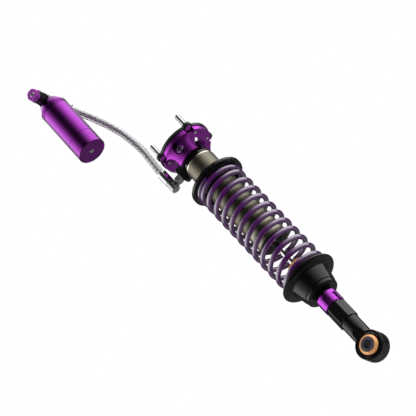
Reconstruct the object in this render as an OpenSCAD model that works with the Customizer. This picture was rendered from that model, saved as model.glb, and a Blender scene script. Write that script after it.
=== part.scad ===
// Coilover damper with a threaded body, one coil spring and a remote reservoir on a hose.
// The origin is the centre of the mounting plane, on top of the stud plate, and +Z points up.
// The damper hangs down the Z axis. Its cross bolt and its lower bearing lie along Y,
// and the hose leaves it towards -X.

/* [Stud plate] */
// Radius of the plate
plate_r = 54; // [53:0.5:58]
// Thickness of the plate
plate_t = 6; // [4:0.5:9]
// Radius of the opening through the plate
plate_open_r = 31; // [30:0.5:33]
// Radius of the circle that the studs stand on
stud_circle_r = 52; // [51:0.5:55]
// Radius of a stud
stud_r = 5; // [4:0.5:6]
// Height of a stud above the plate
stud_h = 30; // [20:1:45]
// Radius of a stud's head
stud_head_r = 6; // [6:0.25:7]
// Thickness of a stud's head
stud_head_t = 3; // [2:0.5:5]
// Width of plate round a stud
ear_wall = 4.5; // [3:0.5:6]

/* [Mount body] */
// Radius of the rim under the plate
rim_r = 52; // [51:0.5:54]
// Thickness of the rim
rim_t = 10; // [8:0.5:13]
// Length of a cheek below the rim
cheek_len = 31; // [28:0.5:32]
// Radius of the cheeks at their lower lip
lip_r = 40.5; // [39:0.5:44]
// Half width of a cheek at its lip
cheek_half = 22; // [18:0.5:24]
// Radius of the fillet between a cheek and the rim
cheek_fillet = 20; // [12:0.5:22]
// Half of the gap between the cheeks
cheek_gap = 17; // [16.5:0.25:18]
// Half length of the opening through the rim
slot_half = 31; // [30:0.5:33]
// Gap between a stud's flange and the rim
scallop_gap = 0.75; // [0.5:0.05:1.5]
// Radius of the screws that hold the plate
screw_r = 2; // [1.5:0.25:2.5]
// Radius of their heads
screw_head_r = 3.2; // [3:0.1:4]
// Thickness of their heads
screw_head_t = 3; // [2:0.5:4]
// Distance of the screws from the middle in X
screw_x = 37; // [36:0.5:40]
// Distance of the screws from the middle in Y
screw_y = 21.4; // [19:0.2:23]

/* [Cross bolt and upper bearing] */
// Depth of the bolt's axis below the mounting plane
pivot_drop = 26; // [25:0.5:28]
// Radius of the bolt
bolt_r = 6; // [5:0.5:7]
// Radius of the bolt's head
bolt_head_r = 7.8; // [7.5:0.1:9]
// Thickness of the bolt's head
bolt_head_t = 5; // [4:0.5:6]
// Radius round the corners of the bolt's nut
bolt_nut_r = 10; // [9:0.5:10.5]
// Thickness of the bolt's nut
bolt_nut_t = 6; // [4:0.5:7]
// Radius of the round recess over each end of the bolt
recess_r = 11.2; // [10.8:0.1:12]
// Distance of the recess floors from the middle
recess_y = 38; // [36:0.5:39]
// Radius of the upper ball
upper_ball_r = 13; // [12.5:0.25:14]
// Half width of the upper ball
upper_ball_half = 9.5; // [9:0.25:10]
// Radius of the upper race
upper_race_r = 17; // [16:0.5:18]
// Half width of the upper race
upper_race_half = 7; // [6:0.5:8]
// Radius of the spacers beside the upper ball
upper_spacer_r = 8.5; // [8:0.25:9.5]

/* [Head cap] */
// Radius of the eyelet
eyelet_r = 25; // [22:0.5:25]
// Half thickness of the eyelet
eyelet_half = 12; // [11:0.5:13]
// Half width of the neck below the eyelet
neck_half = 26.5; // [25:0.5:28]
// Radius of the collar on top of the tube
collar_r = 28.5; // [27.5:0.5:30]
// Height of the collar
collar_h = 8.5; // [7:0.5:10]
// Length of the plug inside the tube
plug_len = 14; // [12:0.5:18]
// Radius of the boss that carries the hose
boss_r = 17.5; // [15:0.5:18]
// Distance of the boss's face from the axis
boss_x = 42; // [40:0.5:43]
// Depth of the hose port's axis below the mounting plane
port_drop = 41; // [40:0.5:43]

/* [Damper tube] */
// Depth of the tube's top below the mounting plane
tube_drop = 54; // [52:0.5:58]
// Length of the tube
tube_len = 232; // [225:1:240]
// Radius of the tube
tube_r = 30.5; // [29:0.25:32]
// Wall of the tube
tube_wall = 3.5; // [3:0.25:4.5]
// Length of the rod guide inside the tube
guide_len = 24; // [18:1:30]
// Height of the rod guide below the tube
guide_lip = 3; // [2:0.5:5]

/* [Rod and piston] */
// Radius of the rod
rod_r = 7; // [6:0.25:9]
// Radius of the rod's thinner end, which holds the piston
spigot_r = 5; // [4:0.25:5.5]
// Depth of the rod's shoulder below the mounting plane
shoulder_drop = 186; // [184:0.5:190]
// Thickness of the piston
piston_t = 18; // [14:0.5:20]
// Thickness of each stack of shims
shim_t = 2.5; // [1.5:0.25:3]
// Thickness of the nut on the piston
piston_nut_t = 8; // [6:0.5:9]
// Radius of the bump stop
bump_r = 20; // [16:0.5:24]
// Height of the bump stop
bump_h = 30; // [26:0.5:34]

/* [Spring and its seats] */
// Outer radius of the spring
spring_r = 47.75; // [45:0.25:49]
// Radius of the spring's wire
wire_r = 4.75; // [4:0.25:5]
// Number of turns
spring_turns = 13; // [11:0.5:14]
// Distance between turns in the middle of the spring
spring_pitch = 23.5; // [22:0.25:24]
// Radius of the upper seat ring
seat_r = 55; // [53:0.5:58]
// Depth of the seat ring's top below the mounting plane
seat_drop = 104.3; // [100:0.1:108]
// Thickness of the seat ring
seat_t = 7.7; // [6:0.1:10]
// Thickness of the washer between the seat ring and the spring
washer_t = 1.2; // [0.8:0.1:2]
// Radius of the lower perch
perch_r = 55.5; // [53:0.5:58]
// Height of the pilot that centres the spring on the perch
pilot_h = 5; // [3:0.5:7]
// Thickness of the perch's lip
perch_lip = 4.4; // [3:0.2:6]
// Radius of the perch's hub where it leaves the lip
hub_top_r = 38; // [36:0.5:42]
// Radius of the hub near its bottom
hub_low_r = 33.5; // [31:0.5:35]
// Height of the perch from its seat to the bottom of the hub
perch_h = 46.7; // [42:0.1:50]

/* [Rod end] */
// Radius of the collar below the perch
foot_r = 17.5; // [15:0.5:19]
// Height of the collar below the perch
foot_h = 7.5; // [5:0.5:12]
// Radius of the lock nut
nut_r = 20.5; // [19:0.5:22]
// Height of the lock nut
nut_h = 26.5; // [22:0.5:30]
// Radius round the corners of the rod end's shank
shank_r = 20.5; // [19.5:0.5:22]
// Height of the rod end's shank
shank_h = 39.5; // [34:0.5:44]
// Radius of the rod end's neck
neck_r = 17.5; // [16:0.5:18.5]
// Depth of the lower bearing's centre below the shank
eye_drop = 65; // [62:0.5:70]
// Radius of the eye
eye_r = 27; // [26:0.5:30]
// Half thickness of the eye
eye_half = 14.5; // [13.5:0.5:16]

/* [Lower bearing] */
// Radius of the lower race
lower_race_r = 22.5; // [22:0.25:23.5]
// Half width of the lower race
lower_race_half = 8; // [7:0.25:8.5]
// Radius of the lower ball
lower_ball_r = 19; // [18.5:0.25:19.5]
// Half width of the lower ball
lower_ball_half = 9; // [8.75:0.25:9.5]
// Outer radius of the sleeve
sleeve_r = 13.5; // [12:0.25:14]
// Radius of the hole for the customer's bolt
sleeve_bore_r = 8; // [6:0.25:10]
// Half length of the sleeve
sleeve_half = 20; // [19:0.25:24]
// Radius of the spacers beside the lower ball
lower_spacer_r = 18; // [17:0.25:18.5]

/* [Reservoir] */
// Distance of the reservoir's axis from the damper in X
res_x = -123; // [-126:0.5:-120]
// Distance of the reservoir's axis from the damper in Y
res_y = -55; // [-58:0.5:-52]
// Height of the reservoir's bottom above the mounting plane
res_z = 114; // [110:0.5:118]
// Radius of the reservoir
res_r = 28.5; // [27:0.25:30]
// Wall of the reservoir
res_wall = 3; // [2.5:0.25:4]
// Height of its lower cap
res_cap_h = 34; // [28:0.5:38]
// Length of its body above the cap
res_len = 111; // [108:0.5:114]
// Height of the sloped shoulder at its top
res_shoulder = 13; // [8:0.5:16]
// Radius on top of the shoulder
res_top_r = 23; // [21:0.5:25]
// Radius of the housing's barrel
barrel_r = 12.8; // [12:0.1:13.5]
// Length of the barrel in front of the reservoir's axis
barrel_front = 37; // [35:0.5:40]
// Length of the barrel behind the reservoir's axis
barrel_back = 16; // [15:0.5:18]
// Radius of the adjuster's knob
knob_r = 12; // [10:0.25:13]
// Thickness of the knob
knob_t = 12; // [9:0.5:14]

/* [Hose and fittings] */
// Radius of the hose
hose_r = 7; // [6:0.25:7.5]
// Radius of the ferrules on the hose
ferrule_r = 9.2; // [8.5:0.1:9.5]
// Length of the ferrules
ferrule_len = 28; // [26:0.5:30]
// Radius of the fittings' bodies
fitting_r = 8.5; // [8:0.25:9]
// Distance of the lower fitting's centre from the axis
fitting_x = 67; // [66:0.5:68]
// Radius round the corners of the hexagon adapters
hex_r = 9.5; // [8:0.25:10.5]

/* [Hidden] */

// Smoothness of round solids, and of small ones
fine = 96;
small = 48;
// Clearance of a pin or plug in its hole, and of a soft or wound piece
fit = 0.05;
soft_gap = 0.3;
// Usual edge break
edge = 0.8;
// Distance by which a cut runs past the face that it opens
over = 1;

// Studs and ears. Each stud has play in the plate, and a flange under it holds it
stud_count = 4;
stud_angle = 45;
ear_r = stud_r + ear_wall;
stud_play = 1.25;
flange_lap = 2;
flange_r = stud_r + stud_play + flange_lap;
flange_t = 1.2;
scallop_r = flange_r + scallop_gap;
socket_r = 1.6;
socket_depth = 1.8;

// Levels of the mount, counted down from the mounting plane
rim_top = -plate_t;
rim_low = rim_top - rim_t;
lip_z = rim_low - cheek_len;
pivot_z = -pivot_drop;
port_z = -port_drop;
tube_top = -tube_drop;
tube_low = tube_top - tube_len;
collar_top = tube_top + collar_h;
relief_gap = 5;
relief_rise = 5.5;
relief_r = collar_r + relief_gap;
relief_top = collar_top + relief_rise;
flare_steps = 14;

// Upper bearing
bolt_socket_r = 4;
bolt_socket_depth = 3;
bolt_tail = 1.5;

// Damper
tube_ir = tube_r - tube_wall;
oring_half = 1.5;
groove = 2.5;
oring_z = tube_top - plug_len / 2;
port_hole_r = 5;
port_hole_depth = 9;
neck_rise = 4;
boss_root = 2;
seal_r = 12;
seal_h = 7;
wiper_r = 10.5;
wiper_h = 4;
wiper_seat = 2;
guide_low = tube_low - guide_lip;
wiper_low = guide_low - wiper_h;

// Spring: its ends are ground flat, and its end turns are closed
mean_r = spring_r - wire_r;
end_gap = 1;
end_pitch = 2 * wire_r + end_gap;
ground = 1.6;
top_closed = 1;
top_ease = 1;
low_closed = 1.1;
low_ease = 0.25;
seat_low = -seat_drop - seat_t;
washer_low = seat_low - washer_t;
spring_top = washer_low - soft_gap;
spring_start = spring_top + ground;
spring_angle = -91;
rings_per_turn = 24;
wire_sides = 8;
spring_end = spring_start - coil_drop(spring_turns);
spring_low = spring_end + ground;
perch_z = spring_low - soft_gap;
pilot_gap = 0.6;
pilot_r = spring_r - 2 * wire_r - pilot_gap;
thread_gap = 0.08;
washer_over = 1;
seat_holes = 8;
seat_hole_angle = -106;
seat_hole_r = 2;
seat_hole_depth = 4;

// Shaft, from the perch down
bump_round = 5;
bump_waist = 1.2;
bump_waist_h = 3;
bump_low = perch_z + pilot_h;
bump_top = bump_low + bump_h;
perch_low = perch_z - perch_h;
hub_foot_h = 10;
hub_foot_in = 4;
hub_step_z = perch_low + hub_foot_h;
hub_step = 1.5;
hub_foot_r = hub_low_r - hub_foot_in;
hub_chamfer = 2.5;
lip_round = perch_lip / 2;
cove_h = 9;
cove_steps = 10;
foot_low = perch_low - foot_h;
nut_low = foot_low - nut_h;
nut_band = 8;
nut_slots = 6;
nut_slot_w = 7;
nut_slot_d = 3;
shank_low = nut_low - shank_h;
eye_z = shank_low - eye_drop;
neck_fillet = 22;
neck_lap = 4;
neck_top = shank_low + neck_lap;
flat_drop = 34;
flat_z = shank_low - flat_drop;
flat_round = 14;
rod_thread_depth = 30;
rod_low = nut_low - rod_thread_depth;
shoulder_z = -shoulder_drop;
piston_low = shoulder_z + shim_t;
piston_top = piston_low + piston_t;
piston_nut_z = piston_top + shim_t;
rod_top = piston_nut_z + piston_nut_t;
piston_gap = 0.6;
piston_r = tube_ir - piston_gap;
piston_ports = 6;
piston_port_r = 2.5;
piston_port_at = 11.5;
band_h = 10;
band_deep = 1.6;
shim_r = 18;
shim_step = 2;
shim_discs = 4;
piston_nut_r = 9.5;

// Lower bearing
clip_t = 1.5;
clip_w = 2;
clip_groove = 0.7;
spacer_neck_r = 15.5;
spacer_neck = 3;
spacer_flange = 3;
spacer_tip_r = 14.4;
spacer_back = 0.5;
spacer_end = sleeve_half - spacer_back;

// Reservoir
res_ir = res_r - res_wall;
res_mid = res_z + res_cap_h;
res_top = res_mid + res_len;
res_plug = 14;
cap_floor = 6;
cap_rim = 3;
cap_recess_r = res_r - cap_rim;
cap_recess = 0.8;
valve_r = 4.5;
valve_bore_r = 1.2;
valve_lip = 0.6;
valve_flange_r = 7;
valve_flange_t = 2;
knurl_grooves = 5;
knurl_pitch = 2.2;
knurl_deep = 0.6;
spigot_len = 10;
res_spigot_r = 12;
oil_hole_r = 4;
barrel_lift = 0.2;
barrel_z = res_top + barrel_r + barrel_lift;
barrel_front_y = res_y - barrel_front;
barrel_back_y = res_y + barrel_back;
knob_gap = 0.4;
knob_back_y = barrel_front_y - knob_gap;
knob_face_y = knob_back_y - knob_t;
knob_lobes = 6;
lobe_r = 3.4;
lobe_shift = 1.6;
lobe_out = knob_r + lobe_shift;
screw_face_r = 4.5;
stem_r = 3.5;
stem_len = 20;
float_rise = 62;
float_top = res_mid + float_rise;
float_t = 18;
float_skirt = 3;
float_seal_h = 3;
float_seal_deep = 2;

// Fittings
hex_len = 12;
thread_r = port_hole_r - fit;
elbow_stub_r = 7.4;
elbow_round = 1.5;
elbow_low = 10;
elbow_high = 11;
ferrule_rings = 3;
ferrule_ring_w = 2.4;
ferrule_ring_deep = 0.5;
low_elbow = [-fitting_x, 0, port_z];
hose_start = low_elbow + [0, 0, elbow_high + ferrule_len];
port_side = 1;
port_rise = 5;
top_stub = 10.5;
top_elbow = [res_x + port_side, barrel_back_y + hex_len + top_stub, barrel_z + port_rise];
top_tilt = 26;
top_turn = 25;
top_axis = [sin(top_tilt) * cos(top_turn), sin(top_tilt) * sin(top_turn), -cos(top_tilt)];
top_ferrule_len = 20;
hose_end = top_elbow + (elbow_high + top_ferrule_len) * top_axis;

// Route of the hose between its two ferrules, in millimetres
hose_route = [
    [-67, 0, 10], [-66, 0, 24], [-65, 0, 40], [-64, 0, 56], [-64, 0, 72], [-65, 0, 88], [-67, 0, 104],
    [-69, -1, 120], [-72, -1, 135], [-76, -2, 150], [-80, -3, 165], [-85, -4, 180], [-90, -5, 195],
    [-95, -6, 209], [-100, -8, 222], [-105, -10, 235]
];
hose_sides = 12;
hose_points = concat([hose_start], hose_route, [hose_end]);

// ---------- functions ----------

// Running total of a step that rises from 0 to 1 between x = 0 and x = 1
function eased(x) = x <= 0 ? 0 : x >= 1 ? x - 0.5 : x * x / 2;

// Distance that the wire's centre has dropped after u turns
function coil_drop(u) = end_pitch * u
    + (spring_pitch - end_pitch) * top_ease * eased((u - top_closed) / top_ease)
    - (spring_pitch - end_pitch) * low_ease * eased((u - spring_turns + low_closed) / low_ease);

// Centre of the wire after u turns; the coil is right-handed
function coil_centre(u) = let (a = spring_angle - 360 * u)
    [mean_r * cos(a), mean_r * sin(a), spring_start - coil_drop(u)];

// Ring of points round the wire, held between the two ground ends
function coil_ring(u) = let (
        a = spring_angle - 360 * u,
        rise = -spring_pitch / (2 * PI * mean_r),
        c = 1 / sqrt(1 + rise * rise),
        out = [cos(a), sin(a), 0],
        up = [-rise * c * sin(a), rise * c * cos(a), c],
        p = coil_centre(u))
    [for (i = [0:wire_sides - 1])
        let (q = p + wire_r * (cos(360 * i / wire_sides) * out + sin(360 * i / wire_sides) * up))
        [q.x, q.y, max(spring_low, min(spring_top, q.z))]];

// Triangles of a tube of n rings with k points each; apex_a and apex_b are where its end faces meet
function tube_faces(n, k, apex_a, apex_b) = concat(
    [for (i = [1:k - 2]) [apex_a, (apex_a + i) % k, (apex_a + i + 1) % k]],
    [for (r = [0:n - 2], i = [0:k - 1]) [r * k + i, (r + 1) * k + i, (r + 1) * k + (i + 1) % k]],
    [for (r = [0:n - 2], i = [0:k - 1]) [r * k + i, (r + 1) * k + (i + 1) % k, r * k + (i + 1) % k]],
    [for (i = [1:k - 2]) [for (j = [i + 1, i, 0]) (n - 1) * k + (apex_b + j) % k]]);

// Direction of a route at point i
function heading(points, i) = let (
        a = points[max(i - 1, 0)],
        b = points[min(i + 1, len(points) - 1)])
    (b - a) / norm(b - a);

// Ring of points round a route, square to the direction t
function route_ring(p, t, r, k) = let (
        side = cross([0, 1, 0], t) / norm(cross([0, 1, 0], t)),
        up = cross(t, side))
    [for (i = [0:k - 1]) p + r * (cos(360 * i / k) * side + sin(360 * i / k) * up)];

function flat_list(lists) = [for (l = lists, p = l) p];

// Points of an arc about a centre in the drawing plane
function arc(centre, r, a0, a1, steps) =
    [for (i = [0:steps]) centre + r * [cos(a0 + (a1 - a0) * i / steps), sin(a0 + (a1 - a0) * i / steps)]];

// Radius of the mount's flared side at a share t of the way from the rim to the lip
function flare(t) = lip_r + (rim_r - lip_r) * pow(1 - t, 2);

// ---------- shared shapes ----------

// Ring about Z from z0 up to z1, with its outer edges broken by c
module ring(ro, ri, z0, z1, c = edge) {
    rotate_extrude($fn = fine)
        polygon([[ri, z0], [ro - c, z0], [ro, z0 + c], [ro, z1 - c], [ro - c, z1], [ri, z1]]);
}

// Plain ring about Z from z0 up to z1
module plain_ring(ro, ri, z0, z1) {
    rotate_extrude($fn = fine)
        translate([ri, z0])
            square([ro - ri, z1 - z0]);
}

// Cylinder about Z from z0 up to z1
module bar(r, z0, z1) {
    translate([0, 0, z0])
        cylinder(r = r, h = z1 - z0, $fn = fine);
}

// Turns what is drawn about Z so that it lies along Y, with its upper end towards +Y
module along_y(x, z) {
    translate([x, 0, z])
        rotate([-90, 0, 0])
            children();
}

// Places what is drawn about Z on the upper fitting's leaning axis
module on_top_axis() {
    translate(top_elbow)
        rotate([0, 0, top_turn])
            rotate([0, 180 - top_tilt, 0])
                children();
}

// Stands one copy on each mounting stud's place
module at_studs() {
    for (i = [0:stud_count - 1])
        rotate([0, 0, stud_angle + 360 * i / stud_count])
            translate([stud_circle_r, 0, 0])
                children();
}

// Stands one copy on each plate screw's place
module at_screws() {
    for (sx = [-1, 1], sy = [-1, 1])
        translate([sx * screw_x, sy * screw_y, 0])
            children();
}

// Crimped ferrule about Z from z0 up to z1
module ferrule(z0, z1) {
    difference() {
        ring(ferrule_r, 0, z0, z1);
        for (i = [1:ferrule_rings])
            translate([0, 0, z0 + i * (z1 - z0) / (ferrule_rings + 1)])
                plain_ring(ferrule_r + over, ferrule_r - ferrule_ring_deep,
                    -ferrule_ring_w / 2, ferrule_ring_w / 2);
    }
}

// Body of an elbow about Z, rounded at its closed end z0
module elbow_body(z0, z1) {
    rotate_extrude($fn = fine)
        polygon(concat(
            [[0, z0]],
            arc([fitting_r - elbow_round, z0 + elbow_round], elbow_round, -90, 0, 4),
            [[fitting_r, z1 - edge], [fitting_r - edge, z1], [0, z1]]));
}

// ---------- top mount ----------

module stud_plate() {
    color([0.08, 0.08, 0.08])
    translate([0, 0, -plate_t])
        linear_extrude(plate_t)
            difference() {
                union() {
                    circle(r = plate_r, $fn = fine);
                    at_studs()
                        circle(r = ear_r, $fn = small);
                }
                circle(r = plate_open_r, $fn = fine);
                at_studs()
                    circle(r = stud_r + stud_play, $fn = small);
                at_screws()
                    circle(r = screw_r + fit, $fn = small);
            }
}

module mount_body() {
    slot_cut = lip_z - over;
    color([0.55, 0.15, 0.65])
    difference() {
        union() {
            ring(rim_r, 0, rim_low, rim_top);
            intersection() {
                rotate_extrude($fn = fine)
                    polygon(concat(
                        [[0, rim_low + over], [rim_r - edge, rim_low + over]],
                        [for (i = [0:flare_steps]) [flare(i / flare_steps) - edge * (1 - i / flare_steps),
                            rim_low - cheek_len * i / flare_steps]],
                        [[0, lip_z]]));
                rotate([90, 0, 0])
                    translate([0, 0, -rim_r])
                        linear_extrude(2 * rim_r)
                            cheek_outline();
            }
        }
        translate([-slot_half, -cheek_gap, slot_cut])
            cube([2 * slot_half, 2 * cheek_gap, rim_top + over - slot_cut]);
        bar(relief_r, slot_cut, relief_top);
        at_studs()
            bar(scallop_r, rim_low - over, rim_top + over);
        at_screws() {
            bar(screw_r + fit, rim_low - over, rim_top + over);
            bar(screw_head_r + fit, rim_low - over, rim_low + screw_head_t);
        }
        along_y(0, pivot_z) {
            bar(bolt_r + fit, -rim_r, rim_r);
            bar(recess_r, recess_y, rim_r + over);
            bar(recess_r, -rim_r - over, -recess_y);
        }
    }
}

// Outline of the cheeks seen along Y, flared up to the rim with a round fillet
module cheek_outline() {
    polygon(concat(
        [[-cheek_half, lip_z]],
        arc([-cheek_half - cheek_fillet, rim_low - cheek_fillet], cheek_fillet, 0, 90, 12),
        [[-cheek_half - cheek_fillet, rim_low + over], [cheek_half + cheek_fillet, rim_low + over]],
        arc([cheek_half + cheek_fillet, rim_low - cheek_fillet], cheek_fillet, 90, 180, 12),
        [[cheek_half, lip_z]]));
}

module mount_studs() {
    color([0.75, 0.75, 0.78])
    at_studs() {
        ring(stud_r, 0, -plate_t - flange_t, stud_h);
        plain_ring(flange_r, 0, -plate_t - flange_t, -plate_t);
        ring(stud_head_r, 0, -plate_t - stud_head_t, -plate_t);
    }
}

module plate_screws() {
    color([0.7, 0.7, 0.72])
    at_screws()
        difference() {
            union() {
                bar(screw_r, rim_low + over, -edge);
                bar(screw_head_r, rim_low, rim_low + screw_head_t);
            }
            translate([0, 0, rim_low - over])
                cylinder(r = socket_r, h = socket_depth + over, $fn = 6);
        }
}

module pivot_bolt() {
    color([0.6, 0.5, 0.65])
    along_y(0, pivot_z)
        difference() {
            union() {
                ring(bolt_head_r, 0, -recess_y - bolt_head_t, -recess_y, edge * 1.5);
                ring(bolt_r, 0, -recess_y - over, recess_y + bolt_nut_t + bolt_tail);
            }
            translate([0, 0, -recess_y - bolt_head_t - over])
                cylinder(r = bolt_socket_r, h = bolt_socket_depth + over, $fn = 6);
        }
}

module pivot_nut() {
    color([0.7, 0.7, 0.72])
    along_y(0, pivot_z)
        difference() {
            translate([0, 0, recess_y])
                cylinder(r = bolt_nut_r, h = bolt_nut_t, $fn = 6);
            bar(bolt_r + fit, recess_y - over, recess_y + bolt_nut_t + over);
        }
}

// ---------- upper ball ----------

module upper_ball() {
    color([0.8, 0.8, 0.82])
    along_y(0, pivot_z)
        ball(upper_ball_r, upper_ball_half, bolt_r + fit);
}

// Bearing ball about Z, cut flat at both ends and bored
module ball(r, half, bore) {
    difference() {
        intersection() {
            sphere(r = r, $fn = fine);
            bar(r + over, -half, half);
        }
        bar(bore, -half - over, half + over);
    }
}

// Bearing race about Z round a ball
module race(r, half, ball_r) {
    difference() {
        ring(r, 0, -half, half, edge / 2);
        sphere(r = ball_r + fit, $fn = fine);
        bar(sqrt(pow(ball_r + fit, 2) - half * half), -half - over, half + over);
    }
}

module upper_spacers() {
    color([0.8, 0.8, 0.82])
    along_y(0, pivot_z)
        for (s = [0, 1])
            mirror([0, 0, s])
                plain_ring(upper_spacer_r, bolt_r + fit, upper_ball_half, cheek_gap - fit);
}

// ---------- damper ----------

module head_cap() {
    color([0.06, 0.06, 0.06])
    difference() {
        union() {
            along_y(0, pivot_z)
                ring(eyelet_r, 0, -eyelet_half, eyelet_half);
            translate([-neck_half, -eyelet_half, collar_top - over])
                cube([2 * neck_half, 2 * eyelet_half, pivot_z + neck_rise - collar_top + over]);
            ring(collar_r, 0, tube_top, collar_top);
            bar(tube_ir - fit, tube_top - plug_len, tube_top + over);
            translate([-boss_x, 0, port_z])
                rotate([0, 90, 0])
                    ring(boss_r, 0, 0, boss_x - neck_half + boss_root, 2 * edge);
        }
        plain_ring(tube_r + fit, tube_ir - fit, tube_top - plug_len - over, tube_top);
        along_y(0, pivot_z)
            bar(upper_race_r + fit, -eyelet_half - over, eyelet_half + over);
        plain_ring(tube_ir + over, tube_ir - groove, oring_z - oring_half, oring_z + oring_half);
        translate([-boss_x - over, 0, port_z])
            rotate([0, 90, 0])
                bar(port_hole_r, 0, port_hole_depth + over);
    }
}

module upper_race() {
    color([0.55, 0.55, 0.57])
    along_y(0, pivot_z)
        race(upper_race_r, upper_race_half, upper_ball_r);
}

module head_oring() {
    color([0.1, 0.1, 0.1])
    plain_ring(tube_ir - fit, tube_ir - groove + fit,
        oring_z - oring_half + fit, oring_z + oring_half - fit);
}

module port_adapter() {
    color([0.7, 0.7, 0.72])
    translate([-boss_x, 0, port_z])
        rotate([0, -90, 0])
            adapter(fitting_x - boss_x - elbow_stub_r);
}

// Hexagon adapter about Z: a thread below z = 0, a hexagon above it, and a round neck up to length l
module adapter(l) {
    bar(thread_r, -port_hole_depth + over, edge);
    cylinder(r = hex_r, h = hex_len, $fn = 6);
    bar(thread_r, hex_len - edge, l);
}

module hose_elbow() {
    color([0.8, 0.8, 0.82])
    translate(low_elbow)
        difference() {
            union() {
                elbow_body(-elbow_low, elbow_high);
                rotate([0, 90, 0])
                    ring(elbow_stub_r, 0, 0, fitting_x - boss_x - hex_len);
            }
            rotate([0, 90, 0])
                bar(thread_r + fit, elbow_stub_r - fit, fitting_x - boss_x);
        }
}

module elbow_ferrule() {
    color([0.85, 0.85, 0.87])
    translate(low_elbow)
        ferrule(elbow_high, elbow_high + ferrule_len);
}

module hose() {
    last = len(hose_points) - 1;
    color([0.75, 0.75, 0.77])
    polyhedron(
        points = flat_list([for (i = [0:last])
            route_ring(hose_points[i], i == 0 ? [0, 0, 1] : i == last ? -top_axis : heading(hose_points, i),
                hose_r, hose_sides)]),
        faces = tube_faces(last + 1, hose_sides, 0, 0));
}

module damper_tube() {
    color([0.6, 0.56, 0.45])
    ring(tube_r, tube_ir, tube_low, tube_top, 2 * edge);
}

module rod_guide() {
    color([0.08, 0.08, 0.08])
    difference() {
        union() {
            bar(tube_ir - fit, tube_low - over, tube_low + guide_len);
            ring(tube_ir, 0, guide_low, tube_low);
        }
        bar(rod_r + fit, guide_low - over, tube_low + guide_len + over);
        bar(seal_r + fit, tube_low + guide_len - seal_h, tube_low + guide_len + over);
        bar(seal_r + fit, guide_low - over, guide_low + wiper_seat);
    }
}

module rod_seal() {
    color([0.12, 0.12, 0.12])
    plain_ring(seal_r, rod_r + fit, tube_low + guide_len - seal_h, tube_low + guide_len);
}

module rod_wiper() {
    color([0.12, 0.12, 0.12]) {
        plain_ring(seal_r, rod_r + fit, guide_low, guide_low + wiper_seat);
        ring(wiper_r, rod_r + fit, wiper_low, guide_low);
    }
}

module coil_spring() {
    steps = spring_turns * rings_per_turn;
    color([0.35, 0.13, 0.4])
    polyhedron(
        points = flat_list([for (i = [0:steps]) coil_ring(i / rings_per_turn)]),
        faces = tube_faces(steps + 1, wire_sides, 3 * wire_sides / 4, wire_sides / 4));
    echo(coil_gap = min([for (i = [0:steps], j = [i + rings_per_turn / 2:i + 2 * rings_per_turn])
        if (j <= steps)
            norm(coil_centre(i / rings_per_turn) - coil_centre(j / rings_per_turn)) - 2 * wire_r]));
}

// ---------- spring seats ----------

module seat_ring() {
    color([0.05, 0.05, 0.05])
    difference() {
        ring(seat_r, tube_r + thread_gap, seat_low, -seat_drop, 1.5 * edge);
        for (i = [0:seat_holes - 1])
            rotate([0, 0, seat_hole_angle + 360 * i / seat_holes])
                translate([seat_r - seat_hole_depth, 0, seat_low + seat_t / 2])
                    rotate([0, 90, 0])
                        bar(seat_hole_r, 0, seat_hole_depth + over);
    }
}

module seat_washer() {
    color([0.1, 0.1, 0.1])
    plain_ring(spring_r + washer_over, tube_r + thread_gap, washer_low, seat_low);
}

module lower_perch() {
    lip_in = perch_r - lip_round;
    color([0.05, 0.05, 0.05])
    rotate_extrude($fn = fine)
        polygon(concat(
            [[rod_r + fit, perch_low], [rod_r + fit, bump_low], [pilot_r - edge, bump_low],
                [pilot_r, bump_low - edge], [pilot_r, perch_z]],
            arc([lip_in, perch_z - lip_round], lip_round, 90, -90, 8),
            [for (i = [1:cove_steps]) let (a = 90 * i / cove_steps)
                [hub_top_r + (lip_in - hub_top_r) * (1 - sin(a)),
                    perch_z - perch_lip - cove_h * (1 - cos(a))]],
            [[hub_low_r, hub_step_z], [hub_low_r - hub_step, hub_step_z - hub_step],
                [hub_low_r - hub_step, perch_low + hub_chamfer], [hub_foot_r, perch_low]]));
}

module bump_stop() {
    color([0.92, 0.57, 0.3])
    difference() {
        rotate_extrude($fn = fine)
            polygon(concat(
                [[rod_r + soft_gap, bump_low], [bump_r, bump_low]],
                arc([bump_r - bump_round, bump_top - bump_round], bump_round, 0, 90, 8),
                [[rod_r + soft_gap, bump_top]]));
        translate([0, 0, (bump_low + bump_top) / 2])
            plain_ring(bump_r + over, bump_r - bump_waist, -bump_waist_h / 2, bump_waist_h / 2);
    }
}

// ---------- rod and piston ----------

module piston_rod() {
    color([0.85, 0.85, 0.87]) {
        ring(rod_r, 0, rod_low, shoulder_z);
        ring(spigot_r, 0, shoulder_z - over, rod_top + over);
    }
}

module piston() {
    color([0.65, 0.62, 0.5])
    difference() {
        ring(piston_r, spigot_r + fit, piston_low, piston_top);
        translate([0, 0, piston_low])
            plain_ring(piston_r + over, piston_r - band_deep,
                (piston_t - band_h) / 2, (piston_t + band_h) / 2);
        for (i = [0:piston_ports - 1])
            rotate([0, 0, 360 * i / piston_ports])
                translate([piston_port_at, 0, 0])
                    bar(piston_port_r, piston_low - over, piston_top + over);
    }
}

module piston_band() {
    color([0.25, 0.3, 0.25])
    translate([0, 0, piston_low])
        plain_ring(tube_ir - fit, piston_r - band_deep + fit,
            (piston_t - band_h) / 2 + fit, (piston_t + band_h) / 2 - fit);
}

// Stack of thin discs that get smaller from z up, or down where way is -1
module shims(z, way) {
    thin = shim_t / shim_discs;
    for (i = [0:shim_discs - 1])
        translate([0, 0, way > 0 ? z + i * thin : z - (i + 1) * thin])
            plain_ring(shim_r - i * shim_step, spigot_r + fit, 0, thin);
}

module compression_shims() {
    color([0.7, 0.7, 0.72])
    shims(piston_low, -1);
}

module rebound_shims() {
    color([0.7, 0.7, 0.72])
    shims(piston_top, 1);
}

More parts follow.
